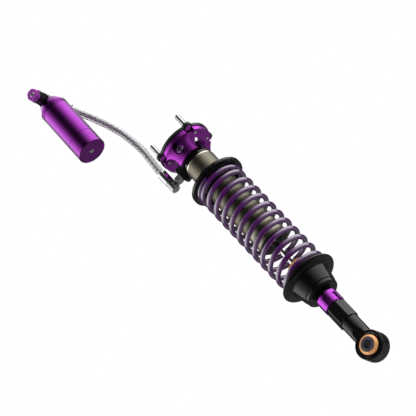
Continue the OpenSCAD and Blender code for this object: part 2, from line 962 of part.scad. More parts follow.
module piston_nut() {
    color([0.6, 0.6, 0.62])
    difference() {
        translate([0, 0, piston_nut_z])
            cylinder(r = piston_nut_r, h = piston_nut_t, $fn = 6);
        bar(spigot_r + fit, piston_nut_z - over, piston_nut_z + piston_nut_t + over);
    }
}

// ---------- rod end ----------

module perch_collar() {
    color([0.05, 0.05, 0.05])
    ring(foot_r, rod_r + fit, foot_low, perch_low);
}

module lock_nut() {
    color([0.6, 0.15, 0.7])
    difference() {
        ring(nut_r, rod_r + fit, nut_low, foot_low);
        for (i = [0:nut_slots - 1])
            rotate([0, 0, 360 * (i + 0.5) / nut_slots])
                translate([nut_r - nut_slot_d, -nut_slot_w / 2, nut_low - over])
                    cube([nut_slot_d + over, nut_slot_w, nut_h - nut_band + over]);
    }
}

// Half outline of the rod end's neck, which flares out to meet the eye tangentially
function neck_outline() = let (
        reach = eye_r + neck_fillet,
        across = neck_r + neck_fillet,
        rise = sqrt(reach * reach - across * across),
        meet = atan2(-rise, -across))
    concat(
        [[0, neck_top], [neck_r, neck_top]],
        arc([across, eye_z + rise], neck_fillet, 180, 360 + meet, 10),
        [[0, eye_z]]);

module rod_end() {
    color([0.05, 0.05, 0.05])
    difference() {
        union() {
            translate([0, 0, shank_low])
                cylinder(r = shank_r, h = shank_h, $fn = 8);
            difference() {
                rotate_extrude($fn = fine)
                    polygon(neck_outline());
                for (s = [-1, 1]) {
                    translate([-eye_r, s > 0 ? eye_half : -eye_half - eye_r, eye_z - eye_r])
                        cube([2 * eye_r, eye_r, flat_z - eye_z + eye_r]);
                    translate([0, s * (eye_half + flat_round), flat_z])
                        rotate([0, 90, 0])
                            bar(flat_round, -eye_r, eye_r);
                }
            }
            along_y(0, eye_z)
                ring(eye_r, 0, -eye_half, eye_half, 1.5 * edge);
        }
        bar(rod_r + fit, rod_low - over, nut_low + over);
        along_y(0, eye_z) {
            bar(lower_race_r + fit, -eye_half - over, eye_half + over);
            for (s = [0, 1])
                mirror([0, 0, s])
                    bar(lower_race_r + clip_groove, lower_race_half, lower_race_half + clip_t + 2 * fit);
        }
    }
}

module lower_race() {
    color([0.2, 0.2, 0.22])
    along_y(0, eye_z)
        race(lower_race_r, lower_race_half, lower_ball_r);
}

module bearing_rings() {
    color([0.5, 0.5, 0.52])
    along_y(0, eye_z)
        for (s = [0, 1])
            mirror([0, 0, s])
                plain_ring(lower_race_r + clip_groove - fit, lower_race_r - clip_w,
                    lower_race_half + fit, lower_race_half + fit + clip_t);
}

module lower_ball() {
    color([0.7, 0.7, 0.72])
    along_y(0, eye_z)
        ball(lower_ball_r, lower_ball_half, sleeve_r + fit);
}

module lower_spacers() {
    flange_z = lower_ball_half + spacer_neck;
    color([0.9, 0.6, 0.3])
    along_y(0, eye_z)
        for (s = [0, 1])
            mirror([0, 0, s])
                rotate_extrude($fn = fine)
                    polygon([[sleeve_r + fit, lower_ball_half], [spacer_neck_r, lower_ball_half],
                        [spacer_neck_r, flange_z], [lower_spacer_r, flange_z],
                        [lower_spacer_r, flange_z + spacer_flange], [spacer_tip_r, spacer_end],
                        [sleeve_r + fit, spacer_end]]);
}

module lower_sleeve() {
    color([0.25, 0.25, 0.28])
    along_y(0, eye_z)
        ring(sleeve_r, sleeve_bore_r, -sleeve_half, sleeve_half);
}

// ---------- reservoir ----------

// Moves what is drawn about Z onto the reservoir's axis
module at_reservoir() {
    translate([res_x, res_y, 0])
        children();
}

module reservoir_cap() {
    color([0.55, 0.15, 0.65])
    at_reservoir()
        difference() {
            union() {
                ring(res_r, 0, res_z, res_mid);
                bar(res_ir - fit, res_mid - over, res_mid + res_plug);
            }
            bar(cap_recess_r, res_z - over, res_z + cap_recess);
            bar(valve_r + fit, res_z - over, res_mid + res_plug + over);
            bar(res_ir - res_wall, res_z + cap_floor + valve_flange_t, res_mid + res_plug + over);
        }
}

module gas_valve() {
    color([0.6, 0.6, 0.62])
    at_reservoir()
        difference() {
            union() {
                ring(valve_r, 0, res_z + cap_recess - valve_lip, res_z + cap_floor + valve_flange_t + over);
                ring(valve_flange_r, 0, res_z + cap_floor + valve_flange_t,
                    res_z + cap_floor + 2 * valve_flange_t);
            }
            bar(valve_bore_r, res_z - over, res_z + cap_floor + 2 * valve_flange_t + over);
        }
}

module reservoir_body() {
    color([0.6, 0.15, 0.7])
    at_reservoir()
        difference() {
            rotate_extrude($fn = fine)
                polygon([[res_ir, res_mid], [res_r, res_mid], [res_r, res_top - res_shoulder],
                    [res_top_r, res_top], [res_spigot_r + fit, res_top],
                    [res_spigot_r + fit, res_top - spigot_len],
                    [res_top_r - res_wall, res_top - spigot_len],
                    [res_ir, res_top - res_shoulder - res_wall]]);
            for (i = [0:knurl_grooves - 1])
                translate([0, 0, res_top - res_shoulder - knurl_pitch * (i + 1)])
                    plain_ring(res_r + over, res_r - knurl_deep, -knurl_pitch / 4, knurl_pitch / 4);
        }
}

module reservoir_housing() {
    color([0.06, 0.06, 0.06])
    at_reservoir()
        difference() {
            union() {
                translate([0, 0, barrel_z])
                    rotate([-90, 0, 0])
                        ring(barrel_r, 0, -barrel_front, barrel_back, 1.5 * edge);
                translate([-barrel_r, -barrel_back, res_top])
                    cube([2 * barrel_r, 2 * barrel_back, barrel_z - res_top]);
                bar(res_spigot_r, res_top - spigot_len, res_top + over);
            }
            bar(oil_hole_r, res_top - spigot_len - over, barrel_z);
            translate([0, 0, barrel_z])
                rotate([-90, 0, 0])
                    bar(stem_r + fit, -barrel_front - over, -barrel_front + stem_len + over);
            translate([port_side, 0, top_elbow.z])
                rotate([-90, 0, 0])
                    bar(port_hole_r, barrel_back - port_hole_depth, barrel_back + over);
        }
}

module adjuster_knob() {
    color([0.6, 0.15, 0.7])
    translate([res_x, 0, barrel_z])
        rotate([-90, 0, 0])
            difference() {
                ring(knob_r, screw_face_r + fit, knob_face_y, knob_back_y, 1.5 * edge);
                for (i = [0:knob_lobes - 1])
                    rotate([0, 0, 360 * (i + 0.5) / knob_lobes])
                        translate([lobe_out, 0, 0])
                            bar(lobe_r, knob_face_y - over, knob_back_y + over);
            }
}

module adjuster_screw() {
    color([0.7, 0.7, 0.72])
    translate([res_x, 0, barrel_z])
        rotate([-90, 0, 0])
            difference() {
                union() {
                    ring(screw_face_r, 0, knob_face_y - valve_lip, knob_back_y);
                    bar(stem_r, knob_back_y - over, barrel_front_y + stem_len);
                }
                translate([0, 0, knob_face_y - valve_lip - over])
                    cylinder(r = socket_r, h = socket_depth + over, $fn = 6);
            }
}

module floating_piston() {
    color([0.65, 0.62, 0.5])
    at_reservoir()
        difference() {
            ring(res_ir - 2 * fit, 0, float_top - float_t, float_top);
            bar(res_ir - float_skirt, float_top - float_t - over, float_top - float_skirt);
            translate([0, 0, float_top - float_t / 2])
                plain_ring(res_ir + over, res_ir - float_seal_deep, -float_seal_h / 2, float_seal_h / 2);
        }
}

module floating_seal() {
    color([0.12, 0.12, 0.12])
    at_reservoir()
        translate([0, 0, float_top - float_t / 2])
            plain_ring(res_ir - fit, res_ir - float_seal_deep + fit,
                -float_seal_h / 2 + fit, float_seal_h / 2 - fit);
}

module reservoir_adapter() {
    color([0.7, 0.7, 0.72])
    translate([top_elbow.x, barrel_back_y, top_elbow.z])
        rotate([-90, 0, 0])
            adapter(hex_len);
}

module reservoir_elbow() {
    color([0.8, 0.8, 0.82]) {
        on_top_axis()
            elbow_body(-elbow_low, elbow_high);
        translate([top_elbow.x, barrel_back_y, top_elbow.z])
            rotate([-90, 0, 0])
                ring(elbow_stub_r, 0, hex_len, hex_len + top_stub);
    }
}

module reservoir_ferrule() {
    color([0.85, 0.85, 0.87])
    on_top_axis()
        ferrule(elbow_high, elbow_high + top_ferrule_len);
}

stud_plate();
mount_body();
mount_studs();
plate_screws();
pivot_bolt();
pivot_nut();
upper_ball();
upper_spacers();
head_cap();
upper_race();
head_oring();
port_adapter();
hose_elbow();
elbow_ferrule();
hose();
damper_tube();
rod_guide();
rod_seal();
rod_wiper();
coil_spring();
seat_washer();
seat_ring();
piston_rod();
piston();
piston_band();
compression_shims();
rebound_shims();
piston_nut();
bump_stop();
lower_perch();
perch_collar();
lock_nut();
rod_end();
lower_race();
bearing_rings();
lower_ball();
lower_spacers();
lower_sleeve();
reservoir_cap();
gas_valve();
reservoir_body();
reservoir_housing();
adjuster_knob();
adjuster_screw();
floating_piston();
floating_seal();
reservoir_adapter();
reservoir_elbow();
reservoir_ferrule();
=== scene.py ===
"""Dresses the coilover: machined edges, threads, spring, hose, finishes, studio and camera."""

import logging
import math
from dataclasses import dataclass
from enum import Enum

import bmesh
import bpy
from mathutils import Matrix, Vector


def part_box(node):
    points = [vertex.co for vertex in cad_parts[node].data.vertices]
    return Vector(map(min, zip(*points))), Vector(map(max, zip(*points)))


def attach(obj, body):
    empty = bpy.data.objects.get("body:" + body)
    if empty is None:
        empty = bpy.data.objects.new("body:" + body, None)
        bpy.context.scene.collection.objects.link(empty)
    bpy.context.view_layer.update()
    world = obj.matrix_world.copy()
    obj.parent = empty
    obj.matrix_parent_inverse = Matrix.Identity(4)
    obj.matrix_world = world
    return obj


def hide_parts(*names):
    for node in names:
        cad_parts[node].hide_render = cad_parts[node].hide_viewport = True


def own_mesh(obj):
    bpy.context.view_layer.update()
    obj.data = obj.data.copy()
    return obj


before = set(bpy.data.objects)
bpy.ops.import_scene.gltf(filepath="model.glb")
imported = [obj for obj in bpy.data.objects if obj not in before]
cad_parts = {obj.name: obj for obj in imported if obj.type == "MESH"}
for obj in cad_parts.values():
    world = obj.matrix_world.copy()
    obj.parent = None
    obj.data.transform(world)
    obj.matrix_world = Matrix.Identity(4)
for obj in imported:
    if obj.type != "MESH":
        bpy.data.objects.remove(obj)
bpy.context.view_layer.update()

log = logging.getLogger("coilover")

Colour = tuple[float, float, float]
Point = tuple[float, float, float]
Geometry = list[bmesh.types.BMVert | bmesh.types.BMEdge | bmesh.types.BMFace]
Stops = tuple[tuple[float, float], ...]

ORIGIN: Point = (0.0, 0.0, 0.0)
# Distance under which corners of a new solid are the same corner
SAME = 1e-7


class Grain(Enum):
    """The fine texture that a finish carries."""

    TURNED = "turned"
    MILLED = "milled"
    COATED = "coated"
    FOAM = "foam"
    BRUSHED = "brushed"
    RUBBER = "rubber"


class Way(Enum):
    """The axis that a turned piece was turned about."""

    UP = (0.0, 0.0, 0.0)
    ACROSS = (math.pi / 2, 0.0, 0.0)


@dataclass(frozen=True)
class Texture:
    """How a grain's noise is laid on a piece.

    Attributes:
        scale: Cells per metre.
        detail: Octaves.
        stretch: How tightly it lies along each axis.
    """

    scale: float
    detail: float
    stretch: Point = (1.0, 1.0, 1.0)


TEXTURES = {
    Grain.TURNED: Texture(2600.0, 3.0),
    Grain.MILLED: Texture(1400.0, 3.0, (1.0, 0.35, 1.0)),
    Grain.COATED: Texture(420.0, 2.0),
    Grain.FOAM: Texture(900.0, 4.0),
    Grain.BRUSHED: Texture(1800.0, 3.0, (1.0, 1.0, 0.06)),
    Grain.RUBBER: Texture(1500.0, 2.0),
}
# The wider clouds in every finish, and the share of its texture that is fine
CLOUDS = Texture(38.0, 3.0)
FINE_SHARE = 0.4


# ---------- finishes ----------


class Shader:
    """A material's node graph, with one short method for each kind of node.

    Attributes:
        material: The material.
        tree: Its node tree.
        surface: Its Principled shader.
    """

    def __init__(self, name: str) -> None:
        """Starts a material with an output and a Principled shader.

        Args:
            name: The material's name.
        """
        self.material = bpy.data.materials.new(name)
        self.material.use_nodes = True
        self.tree = self.material.node_tree
        self.surface = self.tree.nodes["Principled BSDF"]
        self._coordinates = self.tree.nodes.new("ShaderNodeTexCoord")

    def node(self, kind: str, **values: object) -> bpy.types.Node:
        """Adds a node and sets its attributes.

        Args:
            kind: The node's type, without its ShaderNode prefix.
            values: Attributes to set on it.

        Returns:
            The new node.
        """
        made = self.tree.nodes.new("ShaderNode" + kind)
        for key, value in values.items():
            setattr(made, key, value)
        return made

    def link(self, source: bpy.types.NodeSocket, target: bpy.types.NodeSocket) -> None:
        """Joins an output to an input."""
        self.tree.links.new(source, target)

    def place(self, centre: Point = ORIGIN, turn: Point = ORIGIN) -> bpy.types.NodeSocket:
        """Object coordinates, moved and turned onto a piece's own axis.

        Args:
            centre: The point that becomes the pattern's origin.
            turn: The turn about that point, in radians.

        Returns:
            The vector output.
        """
        move = self.node("VectorMath", operation="SUBTRACT")
        move.inputs[1].default_value = centre
        self.link(self._coordinates.outputs["Object"], move.inputs[0])
        rotate = self.node("Mapping")
        rotate.inputs["Rotation"].default_value = turn
        self.link(move.outputs[0], rotate.inputs["Vector"])
        return rotate.outputs["Vector"]

    def maths(self, operation: str, first: object, second: object = 0.0) -> bpy.types.NodeSocket:
        """One sum of two values or sockets.

        Args:
            operation: The Math node's operation.
            first: A number or a socket.
            second: A number or a socket.

        Returns:
            The result's socket.
        """
        made = self.node("Math", operation=operation)
        for i, value in enumerate((first, second)):
            if isinstance(value, (int, float)):
                made.inputs[i].default_value = value
            else:
                self.link(value, made.inputs[i])
        return made.outputs[0]

    def noise(self, vector: bpy.types.NodeSocket, texture: Texture) -> bpy.types.NodeSocket:
        """Noise over a vector.

        Args:
            vector: Where it is read.
            texture: Its scale, detail and stretch.

        Returns:
            The value output, about 0.5 on average.
        """
        made = self.node("TexNoise")
        made.inputs["Scale"].default_value = texture.scale
        made.inputs["Detail"].default_value = texture.detail
        self.link(self.stretched(vector, texture.stretch), made.inputs["Vector"])
        return made.outputs["Fac"]

    def stretched(self, vector: bpy.types.NodeSocket, stretch: Point) -> bpy.types.NodeSocket:
        """A vector scaled differently along each axis.

        Args:
            vector: The vector's socket.
            stretch: The scale along each axis.

        Returns:
            The scaled vector.
        """
        made = self.node("VectorMath", operation="MULTIPLY")
        made.inputs[1].default_value = stretch
        self.link(vector, made.inputs[0])
        return made.outputs[0]

    def rings(self, vector: bpy.types.NodeSocket) -> bpy.types.NodeSocket:
        """A vector that changes only along a turned piece's axis and radius, for tool marks.

        Args:
            vector: Coordinates with the piece's axis on Z.

        Returns:
            A vector whose only part is height plus radius.
        """
        parts = self.node("SeparateXYZ")
        self.link(vector, parts.inputs[0])
        flat = self.stretched(vector, (1.0, 1.0, 0.0))
        radius = self.node("VectorMath", operation="LENGTH")
        self.link(flat, radius.inputs[0])
        total = self.maths("ADD", parts.outputs["Z"], radius.outputs["Value"])
        joined = self.node("CombineXYZ")
        self.link(total, joined.inputs["X"])
        return joined.outputs[0]

    def remap(self, value: bpy.types.NodeSocket, low: float, high: float,
              start: float = 0.3, end: float = 0.7) -> bpy.types.NodeSocket:
        """A value taken from one span to another.

        Args:
            value: The socket to change.
            low: What the span's start becomes.
            high: What its end becomes.
            start: The span's start.
            end: The span's end.

        Returns:
            The new value.
        """
        made = self.node("MapRange")
        made.inputs["From Min"].default_value = start
        made.inputs["From Max"].default_value = end
        made.inputs["To Min"].default_value = low
        made.inputs["To Max"].default_value = high
        self.link(value, made.inputs["Value"])
        return made.outputs["Result"]

    def blend(self, share: bpy.types.NodeSocket, first: Colour, second: Colour) -> bpy.types.NodeSocket:
        """A colour between two.

        Args:
            share: 0 for the first colour and 1 for the second.
            first: The first colour.
            second: The second colour.

        Returns:
            The colour's socket.
        """
        made = self.node("Mix", data_type="RGBA")
        made.inputs["A"].default_value = (*first, 1.0)
        made.inputs["B"].default_value = (*second, 1.0)
        self.link(share, made.inputs["Factor"])
        return made.outputs["Result"]

    def bump(self, height: bpy.types.NodeSocket, depth: float, strength: float = 1.0) -> None:
        """Feeds a height to the surface's normal.

        Args:
            height: The height, from 0 to 1.
            depth: What 1 stands for, in metres.
            strength: How much of it shows.
        """
        made = self.node("Bump")
        made.inputs["Distance"].default_value = depth
        made.inputs["Strength"].default_value = strength
        self.link(height, made.inputs["Height"])
        self.link(made.outputs["Normal"], self.surface.inputs["Normal"])


def shade(colour: Colour, factor: float) -> Colour:
    """A colour made lighter or darker."""
    return tuple(min(1.0, c * factor) for c in colour)


@dataclass(frozen=True)
class Finish:
    """A finish on metal, rubber or foam.

    Attributes:
        slot: The name of its material slot, as logged.
        colour: Its base colour, linear.
        grain: Its fine texture.
        metallic: 1 for bare or anodised metal.
        roughness: Its mean roughness.
        spread: How far the roughness wanders.
        tint: How much the colour wanders, as a share.
        depth: Depth of the texture in metres.
        coat: Weight of a clear coat.
        coat_ior: The coat's index of refraction.
        coat_roughness: The coat's roughness.
        ior: The base's index of refraction, for a finish that isn't metal.
        sheen: Weight of a soft sheen.
    """

    slot: str
    colour: Colour
    grain: Grain
    metallic: float = 1.0
    roughness: float = 0.3
    spread: float = 0.03
    tint: float = 0.04
    depth: float = 0.000002
    coat: float = 0.0
    coat_ior: float = 1.5
    coat_roughness: float = 0.09
    ior: float = 1.5
    sheen: float = 0.0

    def texture(self, shader: Shader, centre: Point, way: Way) -> bpy.types.NodeSocket:
        """The finish's fine texture as a height from 0 to 1.

        Args:
            shader: The graph to add to.
            centre: A point on the piece's axis.
            way: The axis it was turned about.

        Returns:
            The height's socket.
        """
        place = shader.place(centre, way.value)
        if self.grain is Grain.TURNED:
            place = shader.rings(place)
        return shader.noise(place, TEXTURES[self.grain])

    def make(self, name: str, centre: Point = ORIGIN, way: Way = Way.UP) -> bpy.types.Material:
        """Builds the material for one piece.

        Args:
            name: The material's name.
            centre: A point on the piece's axis.
            way: The axis it was turned about.

        Returns:
            The material.
        """
        shader = Shader(name)
        surface = shader.surface
        fine = self.texture(shader, centre, way)
        cloudy = shader.noise(shader.place(centre), CLOUDS)
        mixed = shader.maths("ADD", shader.maths("MULTIPLY", fine, FINE_SHARE),
                             shader.maths("MULTIPLY", cloudy, 1.0 - FINE_SHARE))
        low, high = shade(self.colour, 1.0 - self.tint), shade(self.colour, 1.0 + self.tint)
        shader.link(shader.blend(shader.remap(mixed, 0.0, 1.0), low, high), surface.inputs["Base Color"])
        rough = shader.remap(mixed, self.roughness - self.spread, self.roughness + self.spread)
        shader.link(rough, surface.inputs["Roughness"])
        shader.bump(fine, self.depth)
        surface.inputs["Metallic"].default_value = self.metallic
        surface.inputs["Coat Weight"].default_value = self.coat
        surface.inputs["Coat Roughness"].default_value = self.coat_roughness
        surface.inputs["Coat IOR"].default_value = self.coat_ior
        surface.inputs["IOR"].default_value = self.ior
        surface.inputs["Sheen Weight"].default_value = self.sheen
        return shader.material


@dataclass(frozen=True)
class ClearSleeve:
    """The clear plastic sleeve over the hose's braid.

    Attributes:
        tint: The plastic's colour.
        clarity: The share of the light that passes through it.
        smooth: Roughness where it is smoothest.
        scuffed: Roughness where it is scuffed.
        scuffs: The scuffs' texture.
        scuff_depth: Depth of the scuffs in metres.
        scuff_strength: How much of that depth shows.
        ior: Its index of refraction.
    """

    tint: Colour = (0.80, 0.80, 0.81)
    clarity: float = 0.86
    smooth: float = 0.036
    scuffed: float = 0.108
    scuffs: Texture = Texture(260.0, 3.0)
    scuff_depth: float = 0.00004
    scuff_strength: float = 0.5
    ior: float = 1.45

    def make(self, name: str) -> bpy.types.Material:
        """Builds the material.

        Args:
            name: The material's name.

        Returns:
            The material.
        """
        shader = Shader(name)
        surface = shader.surface
        scuffs = shader.noise(shader.place(), self.scuffs)
        shader.link(shader.remap(scuffs, self.smooth, self.scuffed), surface.inputs["Roughness"])
        shader.bump(scuffs, self.scuff_depth, self.scuff_strength)
        surface.inputs["Base Color"].default_value = (*self.tint, 1.0)
        surface.inputs["IOR"].default_value = self.ior
        surface.inputs["Transmission Weight"].default_value = self.clarity
        return shader.material


PURPLE = Finish("anodised_purple", (0.205, 0.026, 0.252), Grain.TURNED, roughness=0.24)
NUT_PURPLE = Finish("anodised_purple", (0.36, 0.05, 0.45), Grain.TURNED, roughness=0.28)
PURPLE_MILLED = Finish("anodised_purple", (0.37, 0.043, 0.44), Grain.MILLED, roughness=0.33)
PLATE_BLACK = Finish("plate_black", (0.03, 0.031, 0.03), Grain.MILLED, metallic=0.7, roughness=0.34)
ZINC = Finish("stud_zinc", (0.62, 0.62, 0.61), Grain.BRUSHED, roughness=0.16, spread=0.05)
SCREW_STEEL = Finish("screw_steel", (0.52, 0.52, 0.53), Grain.TURNED, roughness=0.28)
# A lighter, less metallic copy of the screw steel: a painted highlight on the plate screws' heads, which
# face down into shade.
LIGHTENED_SCREW_HEAD = Finish("screw_steel", (0.80, 0.82, 0.78), Grain.TURNED, metallic=0.45, roughness=0.3)
LILAC = Finish("bolt_lilac", (0.36, 0.20, 0.42), Grain.TURNED, roughness=0.42)
STUD_PURPLE = Finish("anodised_purple", (0.42, 0.065, 0.48), Grain.TURNED, metallic=0.5, roughness=0.36)
BEARING = Finish("bearing_steel", (0.62, 0.62, 0.64), Grain.TURNED, roughness=0.12, spread=0.02)
CAP_BLACK = Finish("cap_black", (0.008, 0.008, 0.008), Grain.MILLED, metallic=0.0, roughness=0.2, ior=1.4)
RUBBER = Finish("rubber_black", (0.015, 0.015, 0.015), Grain.RUBBER, metallic=0.0, roughness=0.55)
CHROME = Finish("fitting_steel", (0.72, 0.72, 0.73), Grain.TURNED, roughness=0.1, spread=0.02)
ELBOW_GREY = Finish("adapter_grey", (0.40, 0.40, 0.41), Grain.MILLED, roughness=0.24)
NICKEL = Finish("adapter_grey", (0.55, 0.55, 0.57), Grain.BRUSHED, roughness=0.26)
BRAID = Finish("hose_braid", (0.60, 0.60, 0.61), Grain.BRUSHED, metallic=0.55, roughness=0.24, tint=0.1)
# The tube's top lip is a much lighter copy of the champagne finish: a painted highlight along the tube's top
# edge.
LIP_PAINTED_HIGHLIGHT = Finish("tube_champagne", (0.62, 0.58, 0.49), Grain.TURNED, roughness=0.24)
CHAMPAGNE = Finish("tube_champagne", (0.262, 0.243, 0.188), Grain.TURNED, roughness=0.36, spread=0.04)
SPRING_PAINT = Finish("spring_violet", (0.085, 0.010, 0.122), Grain.COATED, metallic=0.0, roughness=0.3,
                      coat=1.0, coat_ior=2.3, ior=1.05)
ROD = Finish("rod_chrome", (0.66, 0.66, 0.67), Grain.BRUSHED, roughness=0.08, spread=0.02)
PISTON = Finish("piston_alloy", (0.46, 0.43, 0.36), Grain.TURNED, roughness=0.3)
BAND = Finish("band_green", (0.04, 0.075, 0.05), Grain.RUBBER, metallic=0.0, roughness=0.5)
FOAM = Finish("bump_orange", (1.0, 0.47, 0.17), Grain.FOAM, metallic=0.0, roughness=0.55,
              spread=0.08, tint=0.12, depth=0.0002, sheen=0.1)
PERCH_BLACK = Finish("perch_black", (0.004, 0.004, 0.004), Grain.TURNED, metallic=0.0, roughness=0.2,
                     ior=1.37)
END_BLACK = Finish("end_black", (0.004, 0.004, 0.004), Grain.MILLED, metallic=0.0, roughness=0.2, ior=1.42)
RACE = Finish("race_dark", (0.03, 0.03, 0.034), Grain.TURNED, metallic=0.8, roughness=0.26)
SPACER = Finish("spacer_orange", (0.96, 0.46, 0.17), Grain.TURNED, metallic=0.2, roughness=0.34)
SLEEVE = Finish("sleeve_dark", (0.10, 0.095, 0.12), Grain.TURNED, metallic=0.5, roughness=0.42, tint=0.25)


# ---------- workshop ----------


def corners_of(geometry: Geometry) -> list[bmesh.types.BMVert]:
    """The corners among corners, edges and faces."""
    return [part for part in geometry if isinstance(part, bmesh.types.BMVert)]


def edges_of(geometry: Geometry) -> list[bmesh.types.BMEdge]:
    """The edges among corners, edges and faces."""
    return [part for part in geometry if isinstance(part, bmesh.types.BMEdge)]


def whole(solid: bmesh.types.BMesh) -> Geometry:
    """Every corner, edge and face of a solid."""
    return solid.verts[:] + solid.edges[:] + solid.faces[:]


def arc(centre: tuple[float, float], radius: float, start: float, end: float, steps: int,
        tall: float | None = None) -> list[tuple[float, float]]:
    """Points on an arc in the plane of an outline.

    Args:
        centre: Radius and height of its centre.
        radius: Its radius, or its half width where it is an ellipse.
        start: Angle of its first point, in degrees.
        end: Angle of its last point, in degrees.
        steps: Steps between them.
        tall: Half height of an ellipse.

    Returns:
        Radius and height of each point.
    """
    angles = [math.radians(start + (end - start) * k / steps) for k in range(steps + 1)]
    height = radius if tall is None else tall
    return [(centre[0] + radius * math.cos(a), centre[1] + height * math.sin(a)) for a in angles]


@dataclass
class Workshop:
    """Makes finished pieces: it turns, draws, copies, breaks edges and dresses.

    Attributes:
        crease: Angle in radians past which an edge counts as sharp.
        steps: Steps of a full turn.
        evenness: How far large faces outweigh small ones in the shading, up to 100.
        hard: How many times the crease an edge turns before it is shaded sharp.
        join: Distance under which corners of a CAD mesh are the same corner.
        flat: Angle in radians under which neighbouring CAD faces are one flat face.
    """

    crease: float = math.radians(24)
    steps: int = 120
    evenness: int = 90
    hard: float = 1.6
    join: float = 2e-6
    flat: float = math.radians(0.3)

    def turn(self, outline: list[tuple[float, float]], closed: bool = True) -> bmesh.types.BMesh:
        """Turns an outline about Z.

        Args:
            outline: Radius and height of each corner.
            closed: Whether the last corner joins the first, as on a piece with a bore.

        Returns:
            The solid.
        """
        solid = bmesh.new()
        corners = [solid.verts.new((radius, 0.0, height)) for radius, height in outline]
        edges = [solid.edges.new(pair) for pair in zip(corners, corners[1:])]
        if closed:
            edges.append(solid.edges.new((corners[-1], corners[0])))
        bmesh.ops.spin(solid, geom=corners + edges, cent=(0, 0, 0), axis=(0, 0, 1), dvec=(0, 0, 0),
                       angle=2 * math.pi, steps=self.steps, use_merge=True)
        bmesh.ops.remove_doubles(solid, verts=solid.verts[:], dist=SAME)
        bmesh.ops.recalc_face_normals(solid, faces=solid.faces[:])
        return solid

    @staticmethod
    def tube(name: str, line: list[Vector], radius: float, corners: int) -> bpy.types.Object:
        """A round tube along a line.

        Args:
            name: The object's name.
            line: Its centreline's points.
            radius: Its radius.
            corners: Corners of its section, an even number.

        Returns:
            A curve object.
        """
        curve = bpy.data.curves.new(name, "CURVE")
        curve.dimensions = "3D"
        curve.bevel_depth = radius
        # A curve's section has twice this many corners, and four more
        curve.bevel_resolution = (corners - 4) // 2
        curve.use_fill_caps = True
        spline = curve.splines.new("POLY")
        spline.points.add(len(line) - 1)
        for point, place in zip(spline.points, line):
            point.co = (*place, 1.0)
        spline.use_smooth = True
        made = bpy.data.objects.new(name, curve)
        bpy.context.scene.collection.objects.link(made)
        return made

    @staticmethod
    def as_mesh(curve: bpy.types.Object) -> bpy.types.Object:
        """The same shape as a mesh object.

        Args:
            curve: A curve object; it is removed.

        Returns:
            The mesh object, under the same name.
        """
        name = curve.name
        seen = curve.evaluated_get(bpy.context.evaluated_depsgraph_get())
        mesh = bpy.data.meshes.new_from_object(seen)
        bpy.data.objects.remove(curve)
        made = bpy.data.objects.new(name, mesh)
        mesh.name = name
        bpy.context.scene.collection.objects.link(made)
        return made

    def copy(self, node: str) -> bmesh.types.BMesh:
        """A merged copy of a CAD node with its flat faces joined.

        Args:
            node: The node's name.

        Returns:
            The copy, ready for edges to be broken.
        """
        solid = bmesh.new()
        solid.from_mesh(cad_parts[node].data)
        bmesh.ops.remove_doubles(solid, verts=solid.verts[:], dist=self.join)
        bmesh.ops.dissolve_limit(solid, angle_limit=self.flat, use_dissolve_boundaries=False,
                                 verts=solid.verts[:], edges=solid.edges[:], delimit={"NORMAL"})
        return solid

    def break_edges(self, solid: bmesh.types.BMesh, width: float, segments: int = 2) -> None:
        """Rounds every sharp edge.

        Args:
            solid: The solid to change.
            width: The round's width.
            segments: Faces across it.
        """
        sharp = [e for e in solid.edges
                 if len(e.link_faces) == 2 and e.calc_face_angle(0.0) > self.crease]
        bmesh.ops.bevel(solid, geom=sharp, offset=width, offset_type="OFFSET", affect="EDGES",
                        segments=segments, profile=0.5, clamp_overlap=True, material=-1)

    def finish(self, solid: bmesh.types.BMesh, name: str, body: str, finish: Finish,
               nodes: tuple[str, ...], centre: Point = ORIGIN, way: Way = Way.UP) -> bpy.types.Object:
        """Turns a solid into a dressed piece that rides on its body.

        Args:
            solid: The solid; it is freed.
            name: The piece's name.
            body: The CAD body it moves with.
            finish: Its finish.
            nodes: The CAD nodes it stands for.
            centre: A point on its axis, for tool marks.
            way: The axis it was turned about.

        Returns:
            The piece.
        """
        mesh = bpy.data.meshes.new(name)
        for face in solid.faces:
            face.smooth = True
        for edge in solid.edges:
            edge.smooth = len(edge.link_faces) != 2 or edge.calc_face_angle(0.0) < self.crease * self.hard
        solid.to_mesh(mesh)
        solid.free()
        piece = bpy.data.objects.new(name, mesh)
        bpy.context.scene.collection.objects.link(piece)
        shading = piece.modifiers.new("even_shading", "WEIGHTED_NORMAL")
        shading.keep_sharp = True
        shading.weight = self.evenness
        return self.dress(piece, body, finish, nodes, centre, way)

    def dress(self, piece: bpy.types.Object, body: str, finish: Finish, nodes: tuple[str, ...],
              centre: Point = ORIGIN, way: Way = Way.UP,
              material: bpy.types.Material | None = None) -> bpy.types.Object:
        """Gives an object its material and body, and hides the CAD nodes it stands for.

        Args:
            piece: The object.
            body: The CAD body it moves with.
            finish: Its finish.
            nodes: The CAD nodes it stands for.
            centre: A point on its axis, for tool marks.
            way: The axis it was turned about.
            material: A material to use in place of the finish's own.

        Returns:
            The same object.
        """
        piece.data.materials.clear()
        piece.data.materials.append(material or finish.make(piece.name + "_finish", centre, way))
        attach(piece, body)
        if nodes:
            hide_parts(*nodes)
        log.info("%s: %d vertices", piece.name, len(getattr(piece.data, "vertices", ())))
        return piece

    def rework(self, node: str, body: str, finish: Finish, width: float, segments: int = 2,
               centre: Point = ORIGIN, way: Way = Way.UP) -> None:
        """Makes a CAD node again, with its sharp edges rounded.

        Args:
            node: The node.
            body: Its body.
            finish: Its finish.
            width: Width of the rounds.
            segments: Faces across a round.
            centre: A point on its axis, for tool marks.
            way: The axis it was turned about.
        """
        solid = self.copy(node)
        self.break_edges(solid, width, segments)
        self.finish(solid, node + "_finished", body, finish, (node,), centre, way)

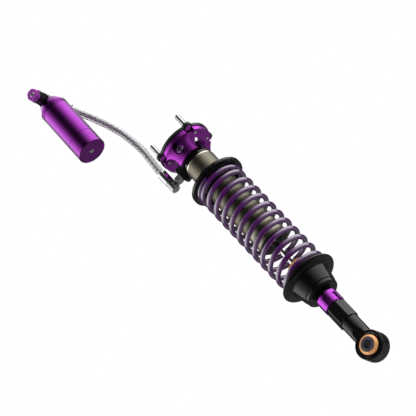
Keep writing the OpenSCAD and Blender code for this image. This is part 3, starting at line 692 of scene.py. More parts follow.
    def keep(self, node: str, finish: Finish, centre: Point = ORIGIN, way: Way = Way.UP) -> None:
        """Keeps a CAD node as it is and gives it a finish.

        Args:
            node: The node.
            finish: Its finish.
            centre: A point on its axis, for tool marks.
            way: The axis it was turned about.
        """
        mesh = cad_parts[node].data
        mesh.materials.clear()
        mesh.materials.append(finish.make(node + "_finish", centre, way))
        log.info("%s: kept with %s", node, finish.slot)


@dataclass
class Thread:
    """A helical thread ridge about Z.

    Attributes:
        crest: Its outer radius.
        depth: Its depth.
        pitch: Its pitch.
        low: Height of its lower end.
        high: Height of its upper end.
        steps: Steps of one turn.
        crest_share: Width of the flat crest as a share of the pitch.
        root_share: Width of the ridge's foot as a share of the pitch.
        sink: How deep the ridge's foot goes, as a share of the depth.
    """

    crest: float
    depth: float
    pitch: float
    low: float
    high: float
    steps: int = 60
    crest_share: float = 0.45
    root_share: float = 0.75
    sink: float = 1.2

    def add(self, solid: bmesh.types.BMesh) -> None:
        """Winds the ridge in a solid whose core reaches the thread's root.

        Args:
            solid: The solid to add to.
        """
        ridge = bmesh.new()
        root = self.crest - self.sink * self.depth
        half = self.pitch / 2
        start = self.low + half
        section = [ridge.verts.new(p) for p in (
            (root, 0.0, start - self.root_share * half), (self.crest, 0.0, start - self.crest_share * half),
            (self.crest, 0.0, start + self.crest_share * half), (root, 0.0, start + self.root_share * half))]
        edges = [ridge.edges.new((section[i], section[i - 1])) for i in range(len(section))]
        bmesh.ops.spin(ridge, geom=section + edges, cent=(0, 0, 0), axis=(0, 0, 1),
                       dvec=(0, 0, self.pitch / self.steps), angle=2 * math.pi, steps=self.steps,
                       use_merge=False)
        one_turn = whole(ridge)
        for k in range(1, int((self.high - self.low) / self.pitch) - 1):
            copied = bmesh.ops.duplicate(ridge, geom=one_turn)["geom"]
            bmesh.ops.translate(ridge, vec=(0, 0, k * self.pitch), verts=corners_of(copied))
        bmesh.ops.remove_doubles(ridge, verts=ridge.verts[:], dist=10 * SAME)
        bmesh.ops.holes_fill(ridge, edges=[e for e in ridge.edges if e.is_boundary])
        bmesh.ops.recalc_face_normals(ridge, faces=ridge.faces[:])
        mesh = bpy.data.meshes.new("ridge")
        ridge.to_mesh(mesh)
        ridge.free()
        solid.from_mesh(mesh)
        bpy.data.meshes.remove(mesh)


# ---------- studio ----------


# Place and brightness of the cards round the part: 0 and 1 are behind it and 0.5 is the camera's side
AROUND = ((0.0, 0.02), (0.165, 0.02), (0.185, 1.0), (0.25, 1.0), (0.35, 0.25), (0.42, 0.01), (0.48, 0.0),
          (0.54, 0.02), (0.62, 0.5), (0.68, 1.0), (0.815, 1.0), (0.835, 0.02), (1.0, 0.02))
# Share of the side cards, and light beyond the part, from straight down (0) to straight up (1)
SIDE = ((0.0, 0.0), (0.31, 0.02), (0.37, 1.0), (0.82, 1.0), (0.88, 0.2), (1.0, 0.0))
BEYOND = ((0.0, 0.13), (0.3, 0.14), (0.42, 0.05), (0.5, 0.02), (0.79, 0.02), (0.86, 1.0), (1.0, 0.5))
# Share of the light beyond the part that is left round it, placed as AROUND is
BEHIND = ((0.0, 1.0), (0.28, 1.0), (0.4, 0.05), (0.6, 0.05), (0.72, 1.0), (1.0, 1.0))
# Brightness of the cards where they are brightest
CARD_GLOW = 2.2
# Name, azimuth from the camera, elevation, size and power of each lamp
LAMPS = (("right_lamp", 75.0, 30.0, 2.0, 42.0), ("left_lamp", -70.0, 35.0, 2.0, 36.0),
         ("top_lamp", 10.0, 75.0, 2.4, 30.0), ("low_lamp", 0.0, -50.0, 2.0, 18.0))


@dataclass
class Studio:
    """Camera, lamps, pale world and floor, and the cards that bright metal mirrors.

    Attributes:
        position: The camera's place.
        azimuth: Its azimuth in degrees.
        elevation: Its elevation in degrees.
        roll: Its roll in degrees.
        lens: Its focal length in mm.
        sensor: Width of its sensor in mm.
        reach: How far it sees.
        floor_z: Height of the floor.
        floor_size: Half its width.
        floor_white: How white and how rough it is.
        sky: Strength of the world where it lights the part.
        dome_radius: Radius of the dome of cards.
        dome_detail: How often its faces are divided.
        middle: The point that lamps and cards stand round.
        lamp_distance: How far from it the lamps stand.
    """

    position: Point = (0.71473, -3.28253, -2.25245)
    azimuth: float = 13.06
    elevation: float = -32.207
    roll: float = -42.911
    lens: float = 188.395
    sensor: float = 36.0
    reach: float = 60.0
    floor_z: float = -2.7
    floor_size: float = 14.0
    floor_white: float = 0.9
    sky: float = 0.4
    dome_radius: float = 9.0
    dome_detail: int = 5
    middle: Point = (0.0, 0.0, -0.2)
    lamp_distance: float = 3.0

    def build(self) -> None:
        """Makes everything that isn't the object."""
        self.add_camera()
        self.add_world()
        self.add_floor()
        self.add_cards()
        self.add_lamps()
        bpy.context.scene.view_settings.view_transform = "Standard"

    def axes(self) -> Matrix:
        """The way that the camera is turned.

        Returns:
            Its right, up and backward directions as a 3x3 matrix.
        """
        azimuth, elevation, roll = (math.radians(a) for a in (self.azimuth, self.elevation, self.roll))
        back = Vector((math.sin(azimuth) * math.cos(elevation),
                       -math.cos(azimuth) * math.cos(elevation), math.sin(elevation)))
        right = (-back).cross(Vector((0, 0, 1))).normalized()
        up = right.cross(-back)
        across = math.cos(roll) * right + math.sin(roll) * up
        upward = math.cos(roll) * up - math.sin(roll) * right
        return Matrix((across, upward, back)).transposed()

    def add_camera(self) -> None:
        """Sets the camera at the viewing angle."""
        data = bpy.data.cameras.new("camera")
        data.sensor_width = self.sensor
        data.lens = self.lens
        data.clip_end = self.reach
        camera = bpy.data.objects.new("camera", data)
        camera.matrix_world = Matrix.Translation(self.position) @ self.axes().to_4x4()
        bpy.context.scene.collection.objects.link(camera)
        bpy.context.scene.camera = camera

    @staticmethod
    def seen_share(tree: bpy.types.NodeTree) -> bpy.types.NodeSocket:
        """1 for rays from the camera, mirrors and glass, and 0 for rays that light the object.

        Args:
            tree: The node tree to add to.

        Returns:
            The share's socket.
        """
        path = tree.nodes.new("ShaderNodeLightPath")
        share = path.outputs["Is Camera Ray"]
        for name in ("Is Glossy Ray", "Is Transmission Ray"):
            most = tree.nodes.new("ShaderNodeMath")
            most.operation = "MAXIMUM"
            tree.links.new(share, most.inputs[0])
            tree.links.new(path.outputs[name], most.inputs[1])
            share = most.outputs[0]
        return share

    def add_world(self) -> None:
        """A white world to look at, and a softer one for light."""
        world = bpy.data.worlds.new("studio")
        world.use_nodes = True
        bpy.context.scene.world = world
        tree = world.node_tree
        background = tree.nodes["Background"]
        strength = tree.nodes.new("ShaderNodeMapRange")
        strength.inputs["To Min"].default_value = self.sky
        strength.inputs["To Max"].default_value = 1.0
        tree.links.new(self.seen_share(tree), strength.inputs["Value"])
        background.inputs["Color"].default_value = (1, 1, 1, 1)
        tree.links.new(strength.outputs["Result"], background.inputs["Strength"])

    def add_floor(self) -> None:
        """A pale floor well below the hanging part."""
        grid = bmesh.new()
        bmesh.ops.create_grid(grid, x_segments=1, y_segments=1, size=self.floor_size)
        bmesh.ops.translate(grid, vec=(0, 0, self.floor_z), verts=grid.verts[:])
        mesh = bpy.data.meshes.new("floor")
        grid.to_mesh(mesh)
        grid.free()
        floor = bpy.data.objects.new("floor", mesh)
        bpy.context.scene.collection.objects.link(floor)
        shader = Shader("floor_paper")
        shader.surface.inputs["Base Color"].default_value = (*3 * (self.floor_white,), 1.0)
        shader.surface.inputs["Roughness"].default_value = self.floor_white
        mesh.materials.append(shader.material)
        floor.visible_glossy = False

    def add_cards(self) -> None:
        """A dome of light and dark cards that only bright surfaces see.

        It is dark in front of the part, and light at both sides and above.
        """
        dome = bmesh.new()
        bmesh.ops.create_icosphere(dome, subdivisions=self.dome_detail, radius=self.dome_radius)
        bmesh.ops.translate(dome, vec=self.middle, verts=dome.verts[:])
        mesh = bpy.data.meshes.new("cards")
        dome.to_mesh(mesh)
        dome.free()
        cards = bpy.data.objects.new("cards", mesh)
        bpy.context.scene.collection.objects.link(cards)
        for kind in ("camera", "diffuse", "volume_scatter", "shadow"):
            setattr(cards, "visible_" + kind, False)
        mesh.materials.append(self.card_material())

    def card_material(self) -> bpy.types.Material:
        """Light and dark by the direction from the part.

        Returns:
            The cards' material.
        """
        shader = Shader("card_light")
        place = shader.place(self.middle, (0.0, 0.0, -math.radians(self.azimuth)))
        unit = shader.node("VectorMath", operation="NORMALIZE")
        shader.link(place, unit.inputs[0])
        parts = shader.node("SeparateXYZ")
        shader.link(unit.outputs[0], parts.inputs[0])
        front = shader.maths("MULTIPLY", parts.outputs["Y"], -1.0)
        angle = shader.maths("ARCTAN2", parts.outputs["X"], front)
        turned = shader.remap(angle, 0.0, 1.0, -math.pi, math.pi)
        around = self.ramp(shader, turned, AROUND)
        rise = shader.remap(parts.outputs["Z"], 0.0, 1.0, -1.0, 1.0)
        ringed = shader.maths("MULTIPLY", around, self.ramp(shader, rise, SIDE))
        beyond = shader.maths("MULTIPLY", self.ramp(shader, turned, BEHIND),
                              self.ramp(shader, rise, BEYOND))
        lit = shader.maths("ADD", ringed, beyond)
        glow = shader.node("Emission")
        shader.link(shader.maths("MULTIPLY", lit, CARD_GLOW), glow.inputs["Strength"])
        shader.link(glow.outputs[0], shader.tree.nodes["Material Output"].inputs["Surface"])
        return shader.material

    @staticmethod
    def ramp(shader: Shader, value: bpy.types.NodeSocket, stops: Stops) -> bpy.types.NodeSocket:
        """A brightness that changes smoothly between stops.

        Args:
            shader: The graph to add to.
            value: Where on the ramp, from 0 to 1.
            stops: Place and brightness of each stop.

        Returns:
            The brightness.
        """
        made = shader.node("ValToRGB")
        elements = made.color_ramp.elements
        made.color_ramp.interpolation = "LINEAR"
        for i, (place, brightness) in enumerate(stops):
            stop = elements[i] if i < 2 else elements.new(place)
            stop.position = place
            stop.color = (brightness, brightness, brightness, 1.0)
        shader.link(value, made.inputs[0])
        return made.outputs[0]

    def add_lamps(self) -> None:
        """Large soft lamps at both sides, above and in front."""
        for name, azimuth, elevation, size, power in LAMPS:
            a, e = math.radians(azimuth + self.azimuth), math.radians(elevation)
            away = Vector((math.sin(a) * math.cos(e), -math.cos(a) * math.cos(e), math.sin(e)))
            data = bpy.data.lights.new(name, "AREA")
            data.shape = "DISK"
            data.size = size
            data.energy = power
            lamp = bpy.data.objects.new(name, data)
            lamp.matrix_world = (Matrix.Translation(Vector(self.middle) + self.lamp_distance * away)
                                 @ away.to_track_quat("Z", "Y").to_matrix().to_4x4())
            lamp.visible_glossy = False
            lamp.visible_transmission = False
            bpy.context.scene.collection.objects.link(lamp)


# ---------- sub-assemblies ----------


@dataclass
class HoseLine:
    """The hose: a clear sleeve over a steel braid, from one ferrule to the other.

    Attributes:
        start: Where it leaves the lower ferrule.
        route: Points along it, as chosen.
        elbow: The upper elbow, where the axis of its ferrule starts.
        reach: Distance from there to where the hose enters the ferrule.
        lean: How far the upper ferrule leans off straight down, in degrees.
        lean_way: The azimuth that it leans to, in degrees.
        radius: Outer radius of the sleeve.
        braid_radius: Radius of the braid between its strands.
        strand: How far a strand stands out.
        strands: Strands wound each way, an even number.
        lay: Length of one turn of a strand.
        weave: How far a strand rises and dips as it passes over and under the others.
        per_turn: Rings of the braid's mesh in one lay.
        around: Corners of one ring.
        corners: Corners of the sleeve's section.
    """

    start: Point = (-0.067, 0.0, -0.002)
    route: tuple[Point, ...] = (
        (-0.067, 0.0, 0.010), (-0.066, 0.0, 0.024), (-0.065, 0.0, 0.040), (-0.064, 0.0, 0.056),
        (-0.064, 0.0, 0.072), (-0.065, 0.0, 0.088), (-0.067, 0.0, 0.104), (-0.069, -0.001, 0.120),
        (-0.072, -0.001, 0.135), (-0.076, -0.002, 0.150), (-0.080, -0.003, 0.165), (-0.085, -0.004, 0.180),
        (-0.090, -0.005, 0.195), (-0.095, -0.006, 0.209), (-0.100, -0.008, 0.222), (-0.105, -0.010, 0.235))
    elbow: Point = (-0.122, -0.0165, 0.277)
    reach: float = 0.031
    lean: float = 26.0
    lean_way: float = 25.0
    radius: float = 0.007
    braid_radius: float = 0.0058
    strand: float = 0.0006
    strands: int = 6
    lay: float = 0.040
    weave: float = 0.00022
    per_turn: int = 72
    around: int = 96
    corners: int = 20

    def build(self, shop: Workshop) -> None:
        """Args:
            shop: The workshop.
        """
        line = self.smooth([Vector(p) for p in (self.start, *self.route, self.end())])
        sleeve = shop.tube("hose_sleeve", line, self.radius, self.corners)
        shop.dress(sleeve, "damper", BRAID, ("hose",), material=ClearSleeve().make("hose_sleeve_finish"))
        braid = self.woven(shop, line)
        shop.dress(braid, "damper", BRAID, ())

    def end(self) -> Vector:
        """Where the hose enters the upper ferrule, along that ferrule's leaning axis.

        Returns:
            The point.
        """
        lean, way = math.radians(self.lean), math.radians(self.lean_way)
        axis = Vector((math.sin(lean) * math.cos(way), math.sin(lean) * math.sin(way), -math.cos(lean)))
        return Vector(self.elbow) + self.reach * axis

    @staticmethod
    def smooth(points: list[Vector], between: int = 4) -> list[Vector]:
        """A finer line through the same points, as a Catmull-Rom curve.

        Args:
            points: The route.
            between: Steps from each point to the next.

        Returns:
            The finer route.
        """
        padded = [2 * points[0] - points[1], *points, 2 * points[-1] - points[-2]]
        line = []
        for p0, p1, p2, p3 in zip(padded, padded[1:], padded[2:], padded[3:]):
            for i in range(between):
                t = i / between
                line.append(0.5 * (2 * p1 + (p2 - p0) * t + (2 * p0 - 5 * p1 + 4 * p2 - p3) * t * t
                                   + (3 * p1 - p0 - 3 * p2 + p3) * t ** 3))
        return line + [points[-1]]

    def woven(self, shop: Workshop, line: list[Vector]) -> bpy.types.Object:
        """The braid: a tube whose skin rises along strands that pass over and under each other.

        Args:
            shop: The workshop.
            line: The hose's centreline.

        Returns:
            The braid's object.
        """
        frames = self.frames(line)
        middle = [station[0] for station in frames]
        braid = shop.as_mesh(shop.tube("hose_braid", middle, self.braid_radius, self.around))
        for i, corner in enumerate(braid.data.vertices):
            centre, side, up, turned = frames[min(i // self.around, len(frames) - 1)]
            out = corner.co - centre
            angle = math.atan2(out.dot(up), out.dot(side))
            corner.co = corner.co + self.rise(angle, turned) * out.normalized()
        for face in braid.data.polygons:
            face.use_smooth = True
        return braid

    def frames(self, line: list[Vector]) -> list[tuple[Vector, Vector, Vector, float]]:
        """Evenly spaced stations along the hose.

        Args:
            line: The hose's centreline.

        Returns:
            Centre, two directions across, and the angle that a strand has turned, for each station.
        """
        runs = [0.0]
        for a, b in zip(line, line[1:]):
            runs.append(runs[-1] + (b - a).length)
        count = int(self.per_turn * runs[-1] / self.lay)
        frames = []
        k = 0
        for i in range(count + 1):
            along = runs[-1] * i / count
            while k < len(runs) - 2 and runs[k + 1] < along:
                k += 1
            share = (along - runs[k]) / (runs[k + 1] - runs[k])
            ahead = (line[k + 1] - line[k]).normalized()
            side = Vector((0, 1, 0)).cross(ahead).normalized()
            frames.append((line[k].lerp(line[k + 1], share), side, ahead.cross(side),
                           2 * math.pi * along / self.lay))
        return frames

    def rise(self, angle: float, turned: float) -> float:
        """How far the braid stands out at one place.

        Args:
            angle: Angle round the hose.
            turned: Angle that a strand has turned at this station.

        Returns:
            The height of whichever strand is on top.
        """
        first, second = self.strands * (angle - turned), self.strands * (angle + turned)
        heights = []
        for own, other, way in ((first, second, 1), (second, first, -1)):
            number = round(own / (2 * math.pi))
            off = abs(own / math.pi - 2 * number)
            bulge = self.strand * (1 - off * off)
            heights.append(bulge + way * self.weave * math.cos(other / 2 + math.pi * number))
        return max(heights)


@dataclass
class TopMount:
    """Plate, purple mount, studs, screws and cross bolt.

    Attributes:
        pivot: The cross bolt's middle.
        stud_circle: Radius of the circle of studs.
        stud_radius: Radius of a stud.
        head_radius: Radius of its round head.
        flange_radius: Radius of the flange under the plate.
        flange_low: Height of the flange's lower face.
        flange_high: Height of its upper face.
        thread_depth: Depth of the studs' thread.
        thread_pitch: Its pitch.
        thread_low: Height of its lower end.
        thread_steps: Steps of one turn of it.
        point: Length of the taper at a stud's end.
        flange_round: Size of the round on a flange.
        crown: Size of the round on a head.
        crown_steps: Faces across these rounds.
        studs: Number of studs.
        first_stud: Azimuth of the first one.
    """

    pivot: Point = (0.0, 0.0, -0.026)
    stud_circle: float = 0.052
    stud_radius: float = 0.005
    head_radius: float = 0.006
    flange_radius: float = 0.00825
    flange_low: float = -0.0072
    flange_high: float = -0.006
    thread_depth: float = 0.0003
    thread_pitch: float = 0.0015
    thread_low: float = 0.003
    thread_steps: int = 36
    point: float = 0.001
    flange_round: float = 0.0005
    crown: float = 0.0012
    crown_steps: int = 4
    studs: int = 4
    first_stud: float = math.radians(45)

    def build(self, shop: Workshop) -> None:
        """Makes the fixed pieces.

        Args:
            shop: The workshop.
        """
        shop.rework("stud_plate", "top_mount", PLATE_BLACK, width=0.0006)
        shop.rework("mount_body", "top_mount", PURPLE_MILLED, width=0.0007, segments=3)
        shop.rework("pivot_bolt", "top_mount", LILAC, width=0.0004, centre=self.pivot, way=Way.ACROSS)
        shop.rework("pivot_nut", "top_mount", SCREW_STEEL, width=0.0004, centre=self.pivot, way=Way.ACROSS)
        # The plate screws' lighter finish is a painted highlight on heads that face down into shade.
        shop.rework("plate_screws", "top_mount", LIGHTENED_SCREW_HEAD, width=0.0003)
        shop.keep("upper_ball", BEARING, self.pivot, Way.ACROSS)
        shop.keep("upper_spacers", NICKEL, self.pivot, Way.ACROSS)
        self.add_studs(shop)

    def add_studs(self, shop: Workshop) -> None:
        """Makes the threaded studs, their flanges and, in the mount's colour, their round heads.

        Args:
            shop: The workshop.
        """
        low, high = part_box("mount_studs")
        root = self.stud_radius - self.thread_depth
        shank = shop.turn([(0.0, self.flange_low), (self.stud_radius, self.flange_low),
                           (self.stud_radius, self.thread_low), (root, self.thread_low + self.thread_depth),
                           (root, high.z - self.point), (root - self.point, high.z), (0.0, high.z)],
                          closed=False)
        Thread(self.stud_radius, self.thread_depth, self.thread_pitch, self.thread_low,
               high.z - self.point, self.thread_steps).add(shank)
        shop.finish(self.repeat(shank), "stud_shanks", "top_mount", ZINC, ("mount_studs",))
        flange = (self.flange_radius, self.flange_low, self.flange_high, self.flange_round)
        head = (self.head_radius, low.z, self.flange_low, self.crown)
        for name, finish, (radius, bottom, top, size) in (
                ("stud_flanges", PLATE_BLACK, flange), ("stud_heads", STUD_PURPLE, head)):
            disc = shop.turn([(0.0, bottom), (radius, bottom), (radius, top), (0.0, top)], closed=False)
            shop.break_edges(disc, size, self.crown_steps)
            shop.finish(self.repeat(disc), name, "top_mount", finish, ("mount_studs",))

    def repeat(self, solid: bmesh.types.BMesh) -> bmesh.types.BMesh:
        """Copies a solid from the middle to each stud's place.

        Args:
            solid: What stands on the axis.

        Returns:
            The same bmesh, with one copy at each place.
        """
        original = whole(solid)
        for i in range(self.studs):
            angle = self.first_stud + 2 * math.pi * i / self.studs
            copied = bmesh.ops.duplicate(solid, geom=original)["geom"]
            place = Vector((self.stud_circle * math.cos(angle), self.stud_circle * math.sin(angle), 0.0))
            bmesh.ops.translate(solid, vec=place, verts=corners_of(copied))
        bmesh.ops.delete(solid, geom=corners_of(original), context="VERTS")
        return solid


@dataclass
class Damper:
    """Cap, threaded tube and what closes it.

    Attributes:
        pivot: The cross bolt's middle.
        elbow: A point on the elbow's upright axis.
        ferrule_mouth: Radius of the ferrule where the hose enters.
        ferrule_edge: Chamfer on the ferrule's lower end.
        ferrule_round: Size of the rounds on the ferrule.
        nose: Height over which the ferrule narrows.
        bore: Radius of the tube's bore.
        thread_pitch: Pitch of its thread, which is how far the seat climbs in one turn.
        thread_depth: Depth of the thread.
        thread_start: Distance from the tube's top to the thread.
        thread_length: Length of the thread.
        chamfer: Chamfer on the tube's lower end.
        lip_height: Height of the lip round its top, which is made lighter than the tube as a painted
            highlight.
        lip_inset: How far the lip stands back from the thread's crest.
        lip_round: Size of the rounds on the lip.
    """

    pivot: Point = (0.0, 0.0, -0.026)
    elbow: Point = (-0.067, 0.0, -0.041)
    ferrule_mouth: float = 0.0078
    ferrule_edge: float = 0.0006
    ferrule_round: float = 0.0004
    nose: float = 0.002
    bore: float = 0.027
    thread_pitch: float = 0.002
    thread_depth: float = 0.0006
    thread_start: float = 0.0035
    thread_length: float = 0.192
    chamfer: float = 0.0016
    lip_height: float = 0.0028
    lip_inset: float = 0.0002
    lip_round: float = 0.0003

    def build(self, shop: Workshop) -> None:
        """Makes the damper's own pieces.

        Args:
            shop: The workshop.
        """
        shop.rework("head_cap", "damper", CAP_BLACK, width=0.0008, segments=3)
        shop.keep("upper_race", BEARING, self.pivot, Way.ACROSS)
        shop.keep("head_oring", RUBBER)
        shop.rework("port_adapter", "damper", NICKEL, width=0.0004)
        shop.rework("hose_elbow", "damper", ELBOW_GREY, width=0.0005, centre=self.elbow)
        self.add_ferrule(shop)
        shop.rework("rod_guide", "damper", CAP_BLACK, width=0.0006)
        shop.keep("rod_seal", RUBBER)
        shop.rework("rod_wiper", "damper", RUBBER, width=0.0004)
        self.add_tube(shop)

    def add_ferrule(self, shop: Workshop) -> None:
        """Makes the lower ferrule: a smooth bright sleeve, drawn in where the hose enters.

        Args:
            shop: The workshop.
        """
        low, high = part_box("elbow_ferrule")
        radius = (high.x - low.x) / 2
        sleeve = shop.turn([(0.0, low.z), (radius - self.ferrule_edge, low.z),
                            (radius, low.z + self.ferrule_edge),
                            (radius, high.z - self.nose), (self.ferrule_mouth, high.z), (0.0, high.z)],
                           closed=False)
        shop.break_edges(sleeve, self.ferrule_round)
        bmesh.ops.translate(sleeve, vec=(self.elbow[0], self.elbow[1], 0.0), verts=sleeve.verts[:])
        shop.finish(sleeve, "smooth_ferrule", "damper", CHROME, ("elbow_ferrule",), self.elbow)

    def add_tube(self, shop: Workshop) -> None:
        """Makes the tube, threaded down to its smooth lower end, and the lip round its top, made lighter as
        a painted highlight.

        Args:
            shop: The workshop.
        """
        low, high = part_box("damper_tube")
        radius = high.x
        lip_low = high.z - self.lip_height
        root = radius - self.thread_depth
        top = high.z - self.thread_start
        bottom = top - self.thread_length
        tube = shop.turn([(self.bore, low.z), (radius - self.chamfer, low.z), (radius, low.z + self.chamfer),
                          (radius, bottom), (root, bottom + self.thread_depth), (root, top),
                          (radius, top + self.thread_depth), (radius, lip_low), (self.bore, lip_low)])
        Thread(radius, self.thread_depth, self.thread_pitch, bottom, top).add(tube)
        shop.finish(tube, "threaded_tube", "damper", CHAMPAGNE, ("damper_tube",))
        wall = radius - self.lip_inset
        lip = shop.turn([(self.bore, lip_low), (wall, lip_low), (wall, high.z), (self.bore, high.z)])
        shop.break_edges(lip, self.lip_round)
        # The lip's lighter finish is a painted highlight on the tube's top edge.
        shop.finish(lip, "tube_lip", "damper", LIP_PAINTED_HIGHLIGHT, ("damper_tube",))


@dataclass
class Spring:
    """The coil spring, its seat ring and washer.

    Attributes:
        outer: Outer radius of the coil.
        wire: Radius of the wire.
        turns: Number of turns.
        pitch: Pitch in the middle.
        closed_pitch: Pitch of the end turns.
        ground: How far the centre lies outside a ground end.
        start: Azimuth of the upper end, in degrees.
        closed: Closed turns at the top and at the bottom.
        ease: Turns over which the pitch changes, at the top and at the bottom.
        per_turn: Points on one turn.
        corners: Corners of the wire's section.
        keep: Share of its length that is left at full stroke; not used.
    """

    outer: float = 0.04775
    wire: float = 0.00475
    turns: float = 13.0
    pitch: float = 0.0235
    closed_pitch: float = 0.0105
    ground: float = 0.0016
    start: float = -91.0
    closed: tuple[float, float] = (1.0, 1.1)
    ease: tuple[float, float] = (1.0, 0.25)
    per_turn: int = 48
    corners: int = 16
    keep: float = 0.726

    def build(self, shop: Workshop) -> None:
        """Makes the spring and its seat.

        Args:
            shop: The workshop.
        """
        shop.rework("seat_ring", "seat_nut", PERCH_BLACK, width=0.0006)
        shop.rework("seat_washer", "seat_slider", PLATE_BLACK, width=0.0002)
        self.add_coil(shop)

    def drop(self, turn: float) -> float:
        """How far the wire's centre has come down after some turns.

        Args:
            turn: Turns from the upper end.

        Returns:
            The distance.
        """
        extra = self.pitch - self.closed_pitch
        top = self.ease[0] * self.eased((turn - self.closed[0]) / self.ease[0])
        low = self.ease[1] * self.eased((turn - self.turns + self.closed[1]) / self.ease[1])
        return self.closed_pitch * turn + extra * (top - low)

    @staticmethod
    def eased(share: float) -> float:
        """Running total of a rate that rises evenly from 0 to 1 and then stays at 1.

        Args:
            share: How much of the rise is past; it may lie below 0 or above 1.

        Returns:
            The total.
        """
        if share <= 0:
            return 0.0
        return share - 0.5 if share >= 1 else share * share / 2

    def add_coil(self, shop: Workshop) -> None:
        """Winds the wire and grinds both ends flat.

        Args:
            shop: The workshop.
        """
        low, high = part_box("coil_spring")
        mean = self.outer - self.wire
        line = []
        for i in range(int(self.turns * self.per_turn) + 1):
            turn = i / self.per_turn
            angle = math.radians(self.start - 360 * turn)
            line.append(Vector((mean * math.cos(angle), mean * math.sin(angle),
                                high.z + self.ground - self.drop(turn))))
        wire = shop.as_mesh(shop.tube("coil_wire", line, self.wire, self.corners))
        coil = bmesh.new()
        coil.from_mesh(wire.data)
        bpy.data.objects.remove(wire)
        bmesh.ops.remove_doubles(coil, verts=coil.verts[:], dist=SAME)
        for height, way in ((high.z, 1), (low.z, -1)):
            cut = bmesh.ops.bisect_plane(coil, geom=whole(coil), plane_co=(0, 0, height),
                                         plane_no=(0, 0, way), clear_outer=True)
            bmesh.ops.holes_fill(coil, edges=edges_of(cut["geom_cut"]))
        bmesh.ops.recalc_face_normals(coil, faces=coil.faces[:])
        spring = shop.finish(coil, "wound_spring", "damper", SPRING_PAINT, ("coil_spring",))
        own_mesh(spring)


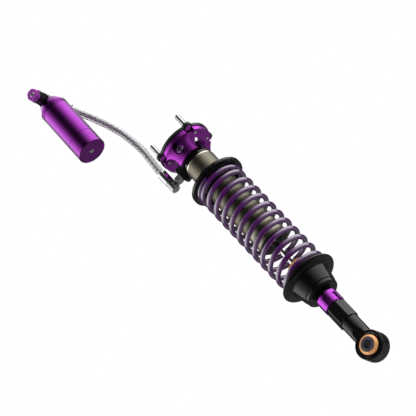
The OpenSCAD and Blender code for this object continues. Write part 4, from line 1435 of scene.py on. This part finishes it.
@dataclass
class Shaft:
    """Rod, piston, bump stop, perch, lock nut, rod end and lower bearing.

    Attributes:
        eye: The eye's middle.
        shank_low: Height of the shank's lower end.
        shank_lap: How far the neck goes up into the shank.
        shank_radius: Radius of the shank at its corners.
        shank_sides: Number of its flats.
        shank_round: Size of the rounds on its corners.
        eye_round: Size of the rounds on the neck and the eye.
        rod: Radius of the rod.
        bump_gap: Gap between the rod and the foam stop.
        bump_radius: Radius of the foam stop.
        bump_edge: Chamfer on its lower end.
        bump_round: Size of the round on its top.
        bump_grooves: Number of grooves round it.
        groove_depth: Depth of a groove.
        groove_half: Half a groove's height.
        bump_steps: Steps across a groove or the round.
        bump_keep: Share of its height that is left at full stroke; not used.
        perch_gap: Gap between the rod and the perch.
        perch_radius: Outer radius of the perch.
        perch_round: Size of the rounds on its edges.
        pilot_radius: Radius of the collar that centres the spring.
        pilot_height: Its height.
        pilot_edge: Chamfer on it.
        lip: Thickness of the perch's rim.
        lip_steps: Steps of the rim's round.
        cove_height: Height of the cove under the rim.
        cove_steps: Steps of the cove.
        hub_top: Radius of the hub under the cove.
        hub_low: Radius of the hub above its foot.
        hub_foot: Height of the foot.
        hub_step: Size of the step down to the foot.
        hub_in: How far in the foot's lower edge lies.
        hub_chamfer: Height of the chamfer on the foot.
    """

    eye: Point = (0.0, 0.0, -0.569125)
    shank_low: float = -0.504125
    shank_lap: float = 0.0005
    shank_radius: float = 0.0205
    shank_sides: int = 6
    shank_round: float = 0.0018
    eye_round: float = 0.0011
    rod: float = 0.007
    bump_gap: float = 0.0003
    bump_radius: float = 0.020
    bump_edge: float = 0.001
    bump_round: float = 0.005
    bump_grooves: int = 2
    groove_depth: float = 0.0014
    groove_half: float = 0.002
    bump_steps: int = 8
    bump_keep: float = 0.385
    perch_gap: float = 0.00005
    perch_radius: float = 0.0555
    perch_round: float = 0.0005
    pilot_radius: float = 0.03765
    pilot_height: float = 0.005
    pilot_edge: float = 0.0008
    lip: float = 0.0044
    lip_steps: int = 12
    cove_height: float = 0.009
    cove_steps: int = 20
    hub_top: float = 0.038
    hub_low: float = 0.0335
    hub_foot: float = 0.010
    hub_step: float = 0.0015
    hub_in: float = 0.004
    hub_chamfer: float = 0.0025

    def build(self, shop: Workshop) -> None:
        """Makes the shaft and what it carries.

        Args:
            shop: The workshop.
        """
        shop.keep("piston_rod", ROD)
        shop.keep("piston", PISTON)
        shop.keep("piston_band", BAND)
        shop.keep("compression_shims", SCREW_STEEL)
        shop.keep("rebound_shims", SCREW_STEEL)
        shop.keep("piston_nut", SCREW_STEEL)
        shop.rework("perch_collar", "shaft", PERCH_BLACK, width=0.0004)
        shop.rework("lock_nut", "shaft", NUT_PURPLE, width=0.0005, segments=3)
        self.add_rod_end(shop)
        shop.rework("lower_race", "shaft", RACE, width=0.0003, centre=self.eye, way=Way.ACROSS)
        shop.rework("bearing_rings", "shaft", SCREW_STEEL, width=0.0003, centre=self.eye, way=Way.ACROSS)
        shop.keep("lower_ball", BEARING, self.eye, Way.ACROSS)
        shop.rework("lower_spacers", "lower_bearing", SPACER, width=0.0004, centre=self.eye, way=Way.ACROSS)
        shop.rework("lower_sleeve", "bolt_sleeve", SLEEVE, width=0.0005, centre=self.eye, way=Way.ACROSS)
        self.add_bump_stop(shop)
        self.add_perch(shop)

    def add_rod_end(self, shop: Workshop) -> None:
        """Makes the rod end: a six-sided shank with rounded corners on a neck that runs into the eye.

        Args:
            shop: The workshop.
        """
        solid = shop.copy("rod_end")
        high = max(corner.co.z for corner in solid.verts)
        cut = bmesh.ops.bisect_plane(solid, geom=whole(solid), clear_outer=True, plane_no=(0, 0, 1),
                                     plane_co=(0, 0, self.shank_low + self.shank_lap))
        bmesh.ops.triangle_fill(solid, use_beauty=True, edges=edges_of(cut["geom_cut"]))
        shop.break_edges(solid, self.eye_round, segments=3)
        shank = bmesh.new()
        bmesh.ops.create_cone(shank, cap_ends=True, segments=self.shank_sides, radius1=self.shank_radius,
                              radius2=self.shank_radius, depth=high - self.shank_low)
        first = next(iter(shank.verts)).co
        bmesh.ops.rotate(shank, verts=shank.verts[:], cent=(0, 0, 0),
                         matrix=Matrix.Rotation(-math.atan2(first.y, first.x), 3, "Z"))
        bmesh.ops.translate(shank, vec=(0, 0, (high + self.shank_low) / 2), verts=shank.verts[:])
        shop.break_edges(shank, self.shank_round, segments=4)
        shop.finish(solid, "rod_end_eye", "shaft", END_BLACK, ("rod_end",))
        shop.finish(shank, "rod_end_shank", "shaft", END_BLACK, ("rod_end",))

    def add_bump_stop(self, shop: Workshop) -> None:
        """Makes the foam stop, waisted and rounded on top.

        Args:
            shop: The workshop.
        """
        low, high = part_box("bump_stop")
        bore = self.rod + self.bump_gap
        outline = [(bore, low.z), (self.bump_radius - self.bump_edge, low.z),
                   (self.bump_radius, low.z + self.bump_edge)]
        height = high.z - self.bump_round - low.z
        for i in range(self.bump_grooves):
            middle = low.z + height * (i + 1) / (self.bump_grooves + 1)
            outline += arc((self.bump_radius, middle), self.groove_depth, 270, 90, self.bump_steps,
                           tall=self.groove_half)
        outline += arc((self.bump_radius - self.bump_round, high.z - self.bump_round), self.bump_round,
                       0, 90, self.bump_steps)
        outline.append((bore, high.z))
        stop = shop.turn(outline)
        piece = shop.finish(stop, "foam_stop", "shaft", FOAM, ("bump_stop",))
        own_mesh(piece)

    def add_perch(self, shop: Workshop) -> None:
        """Makes the bell-shaped perch.

        Args:
            shop: The workshop.
        """
        low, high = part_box("lower_perch")
        seat = high.z - self.pilot_height
        round_r = self.lip / 2
        inner = self.perch_radius - round_r
        bore = self.rod + self.perch_gap
        outline = [(bore, low.z), (bore, high.z), (self.pilot_radius - self.pilot_edge, high.z),
                   (self.pilot_radius, high.z - self.pilot_edge), (self.pilot_radius, seat)]
        outline += arc((inner, seat - round_r), round_r, 90, -90, self.lip_steps)
        cove = arc((inner, seat - self.lip - self.cove_height), inner - self.hub_top, 90, 180,
                   self.cove_steps, tall=self.cove_height)
        outline += cove[1:]
        step = low.z + self.hub_foot
        outline += [(self.hub_low, step), (self.hub_low - self.hub_step, step - self.hub_step),
                    (self.hub_low - self.hub_step, low.z + self.hub_chamfer),
                    (self.hub_low - self.hub_in, low.z)]
        perch = shop.turn(outline)
        shop.break_edges(perch, self.perch_round, segments=3)
        shop.finish(perch, "bell_perch", "shaft", PERCH_BLACK, ("lower_perch",))


@dataclass
class Reservoir:
    """The remote reservoir with its adjuster and fittings.

    Attributes:
        centre: A point on the reservoir's axis.
        barrel: A point on the adjuster's axis.
    """

    centre: Point = (-0.123, -0.055, 0.0)
    barrel: Point = (-0.123, 0.0, 0.272)

    def build(self, shop: Workshop) -> None:
        """Makes the reservoir's pieces.

        Args:
            shop: The workshop.
        """
        shop.rework("reservoir_cap", "damper", PURPLE, width=0.0005, segments=3, centre=self.centre)
        shop.rework("reservoir_body", "damper", PURPLE, width=0.0003, centre=self.centre)
        shop.rework("gas_valve", "damper", SCREW_STEEL, width=0.0003, centre=self.centre)
        shop.rework("reservoir_housing", "damper", CAP_BLACK, width=0.0008, segments=3)
        shop.rework("adjuster_knob", "adjuster", STUD_PURPLE,
                    width=0.0008, segments=3, centre=self.barrel, way=Way.ACROSS)
        shop.rework("adjuster_screw", "adjuster", SCREW_STEEL,
                    width=0.0003, centre=self.barrel, way=Way.ACROSS)
        shop.keep("floating_piston", PISTON, self.centre)
        shop.keep("floating_seal", RUBBER, self.centre)
        shop.rework("reservoir_adapter", "damper", NICKEL, width=0.0004)
        shop.rework("reservoir_elbow", "damper", CHROME, width=0.0005)
        shop.rework("reservoir_ferrule", "damper", CHROME, width=0.0004)


def main() -> None:
    """Builds the studio first, then each sub-assembly in order."""
    logging.basicConfig(level=logging.INFO, format="%(message)s")
    shop = Workshop()
    Studio().build()
    HoseLine().build(shop)
    TopMount().build(shop)
    Damper().build(shop)
    Spring().build(shop)
    Shaft().build(shop)
    Reservoir().build(shop)


if __name__ == "__main__":
    main()
